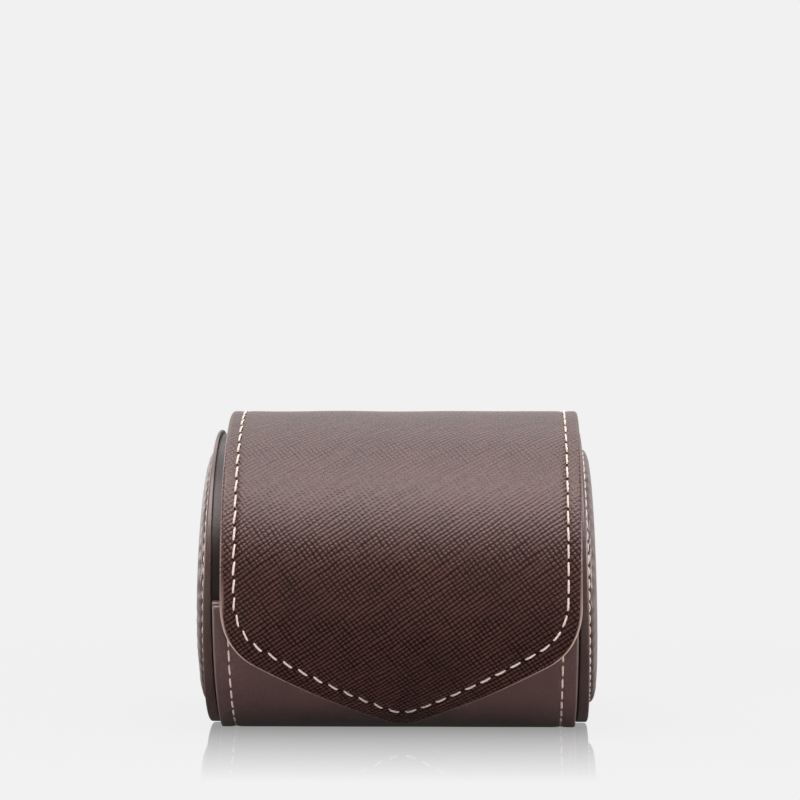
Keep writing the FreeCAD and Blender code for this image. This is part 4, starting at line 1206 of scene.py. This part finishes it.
def add_floor():
    """A pale floor with a soft shadow and, at low angles, a mirror image that fades away from the object;
    seen in reflections it glows, with a painted shadow round the object and more glow towards the sides and
    behind.
    """
    n = new_material("pale_floor")
    places = n.parts(n.add("ShaderNodeNewGeometry").outputs["Position"])
    far_x = n.math("MAXIMUM", n.minus(n.math("ABSOLUTE", places["X"]), FOOT_HALF_X), 0.0)
    far_y = n.math("MAXIMUM", n.minus(n.math("ABSOLUTE", places["Y"]), FOOT_HALF_Y), 0.0)
    far = n.math("SQRT", n.plus(n.times(far_x, far_x), n.times(far_y, far_y)))
    fresnel = n.sockets(n.add("ShaderNodeFresnel"), IOR=FLOOR_IOR)
    gloss = n.span(fresnel.outputs[0], 0.2, 0.45)
    near = n.minus(1.0, n.math("DIVIDE", far, IMAGE_REACH), clamp=True)
    image = n.times(n.times(near, 0.6), gloss)
    around = n.minus(1.0, n.math("DIVIDE", far, SHADOW_REACH), clamp=True)
    shadow = n.times(around, n.minus(0.45, n.times(gloss, 0.31)))
    cloud = n.tones(n.noise(n.object_mm(), 0.02, 2.0), grey(0.64), grey(0.66))
    lit = n.sockets(n.add("ShaderNodeBsdfDiffuse"), Color=cloud)
    shown_lit = n.sockets(n.add("ShaderNodeBsdfDiffuse"), Color=grey(0.41))
    mirror = n.sockets(n.add("ShaderNodeBsdfGlossy"), Color=grey(1.0), Roughness=0.03)
    pale = pale_shader(n, "ShaderNodeEmission", 1.0)
    shown = mix_shaders(n, image, mix_shaders(n, shadow, pale, shown_lit.outputs[0]), mirror.outputs[0])
    # In reflections the floor glows darkest at the object's footprint and brighter away from it, to the sides
    # and behind: a painted shadow.
    aside = n.times(n.plus(far_x, n.math("MAXIMUM", places["Y"], 0.0)), 4.0)
    level = n.span(n.plus(far, aside), 0.0, 0.5, DARKEST_FLOOR, 0.8)
    path = n.add("ShaderNodeLightPath")
    seen = n.math("MAXIMUM", path.outputs["Is Camera Ray"], path.outputs["Is Transmission Ray"])
    floor = mix_shaders(n, path.outputs["Is Glossy Ray"], lit.outputs[0],
                        pale_shader(n, "ShaderNodeEmission", level))
    n.set(n.output, "Surface", mix_shaders(n, seen, floor, shown))
    corners = [(-FLOOR_HALF, -FLOOR_HALF, 0), (FLOOR_HALF, -FLOOR_HALF, 0), (FLOOR_HALF, FLOOR_HALF, 0),
               (-FLOOR_HALF, FLOOR_HALF, 0)]
    mesh = bpy.data.meshes.new("floor")
    mesh.from_pydata(corners, [], [(0, 1, 2, 3)])
    mesh.materials.append(n.owner)
    thing = new_object("floor", mesh)


def add_world():
    """Pale surroundings where they are seen, in reflections dimmer towards the front, and a dim studio."""
    world = bpy.data.worlds.new("studio")
    bpy.context.scene.world = world
    n = Nodes(world, "ShaderNodeOutputWorld")
    direction = n.parts(n.add("ShaderNodeTexCoord").outputs["Generated"])
    behind = n.span(direction["Y"], -0.5, 0.3, 0.08, 1.0)
    dim = n.sockets(n.add("ShaderNodeBackground"), Color=(0.3, 0.3, 0.31, 1.0))
    path = n.add("ShaderNodeLightPath")
    mirrored = mix_shaders(n, path.outputs["Is Glossy Ray"], dim.outputs[0],
                           pale_shader(n, "ShaderNodeBackground", behind))
    seen = n.math("MAXIMUM", path.outputs["Is Camera Ray"], path.outputs["Is Transmission Ray"])
    n.set(n.output, "Surface", mix_shaders(n, seen, mirrored, pale_shader(n, "ShaderNodeBackground", 1.0)))


def add_lamp(name, spot, aim, width, height, watts):
    """A soft rectangular lamp that faces a point."""
    data = bpy.data.lights.new(name, "AREA")
    data.shape = "RECTANGLE"
    data.size = width
    data.size_y = height
    data.energy = watts
    lamp = new_object(name, data)
    lamp.location = spot
    lamp.rotation_euler = (Vector(aim) - Vector(spot)).to_track_quat("-Z", "Y").to_euler()
    lamp.visible_camera = False


def add_lights():
    """A large lamp overhead, one behind it, and at each side a soft one behind and a strip."""
    add_lamp("overhead", (0.0, -0.3, 0.62), (0.0, -0.03, 0.05), 0.62, 0.54, 7.0)
    add_lamp("back_top", (0.0, 0.3, 0.72), (0.0, 0.0, 0.05), 1.0, 0.6, 3.6)
    for name, side, back_watts, strip_watts in (("left", -1.0, 1.7, 3.2), ("right", 1.0, 0.3, 4.6)):
        add_lamp(f"{name}_back", (side * 0.62, 0.5, 0.28), (0.0, 0.0, 0.04), 0.6, 0.5, back_watts)
        add_lamp(f"{name}_strip", (side * 0.75, -0.15, 0.18), (0.0, 0.0, 0.03), 0.3, 0.36, strip_watts)
    add_lamp("front_fill", (0.2, -0.9, 0.5), (0.0, 0.0, 0.03), 0.5, 0.4, 0.6)


def add_camera():
    """The photograph's view: level, from the front and slightly from the right."""
    data = bpy.data.cameras.new("camera")
    data.lens = CAMERA_LENS
    data.sensor_width = CAMERA_SENSOR
    data.clip_start = 0.01
    camera = new_object("camera", data)
    turn = math.radians(CAMERA_TURN)
    across = CAMERA_ASIDE + CAMERA_AWAY * math.sin(turn)
    camera.location = (across, -CAMERA_AWAY * math.cos(turn), CAMERA_HEIGHT)
    camera.rotation_euler = (math.radians(90.0), 0.0, turn)
    bpy.context.scene.camera = camera


SIDES = (("left", -1.0), ("right", 1.0))

add_flap()
add_tail()
add_hinge()
add_wrap()
add_lip()
add_barrel_lining()
for side_name, side in SIDES:
    add_end_lining(side_name, side)
    add_cap(side_name, side)
add_cushion()
sew_flap()
sew_tail_and_hinge(FLAP_SHIFT - FLAP_HALF + SEAM_MARGIN, FLAP_SHIFT + FLAP_HALF - SEAM_MARGIN)
sew_wrap()
for seed, (side_name, side) in enumerate(SIDES, 105):
    sew_cap(side_name, side, seed)
dress_nodes()
add_floor()
add_world()
add_lights()
add_camera()
bpy.context.scene.view_settings.view_transform = "Standard"
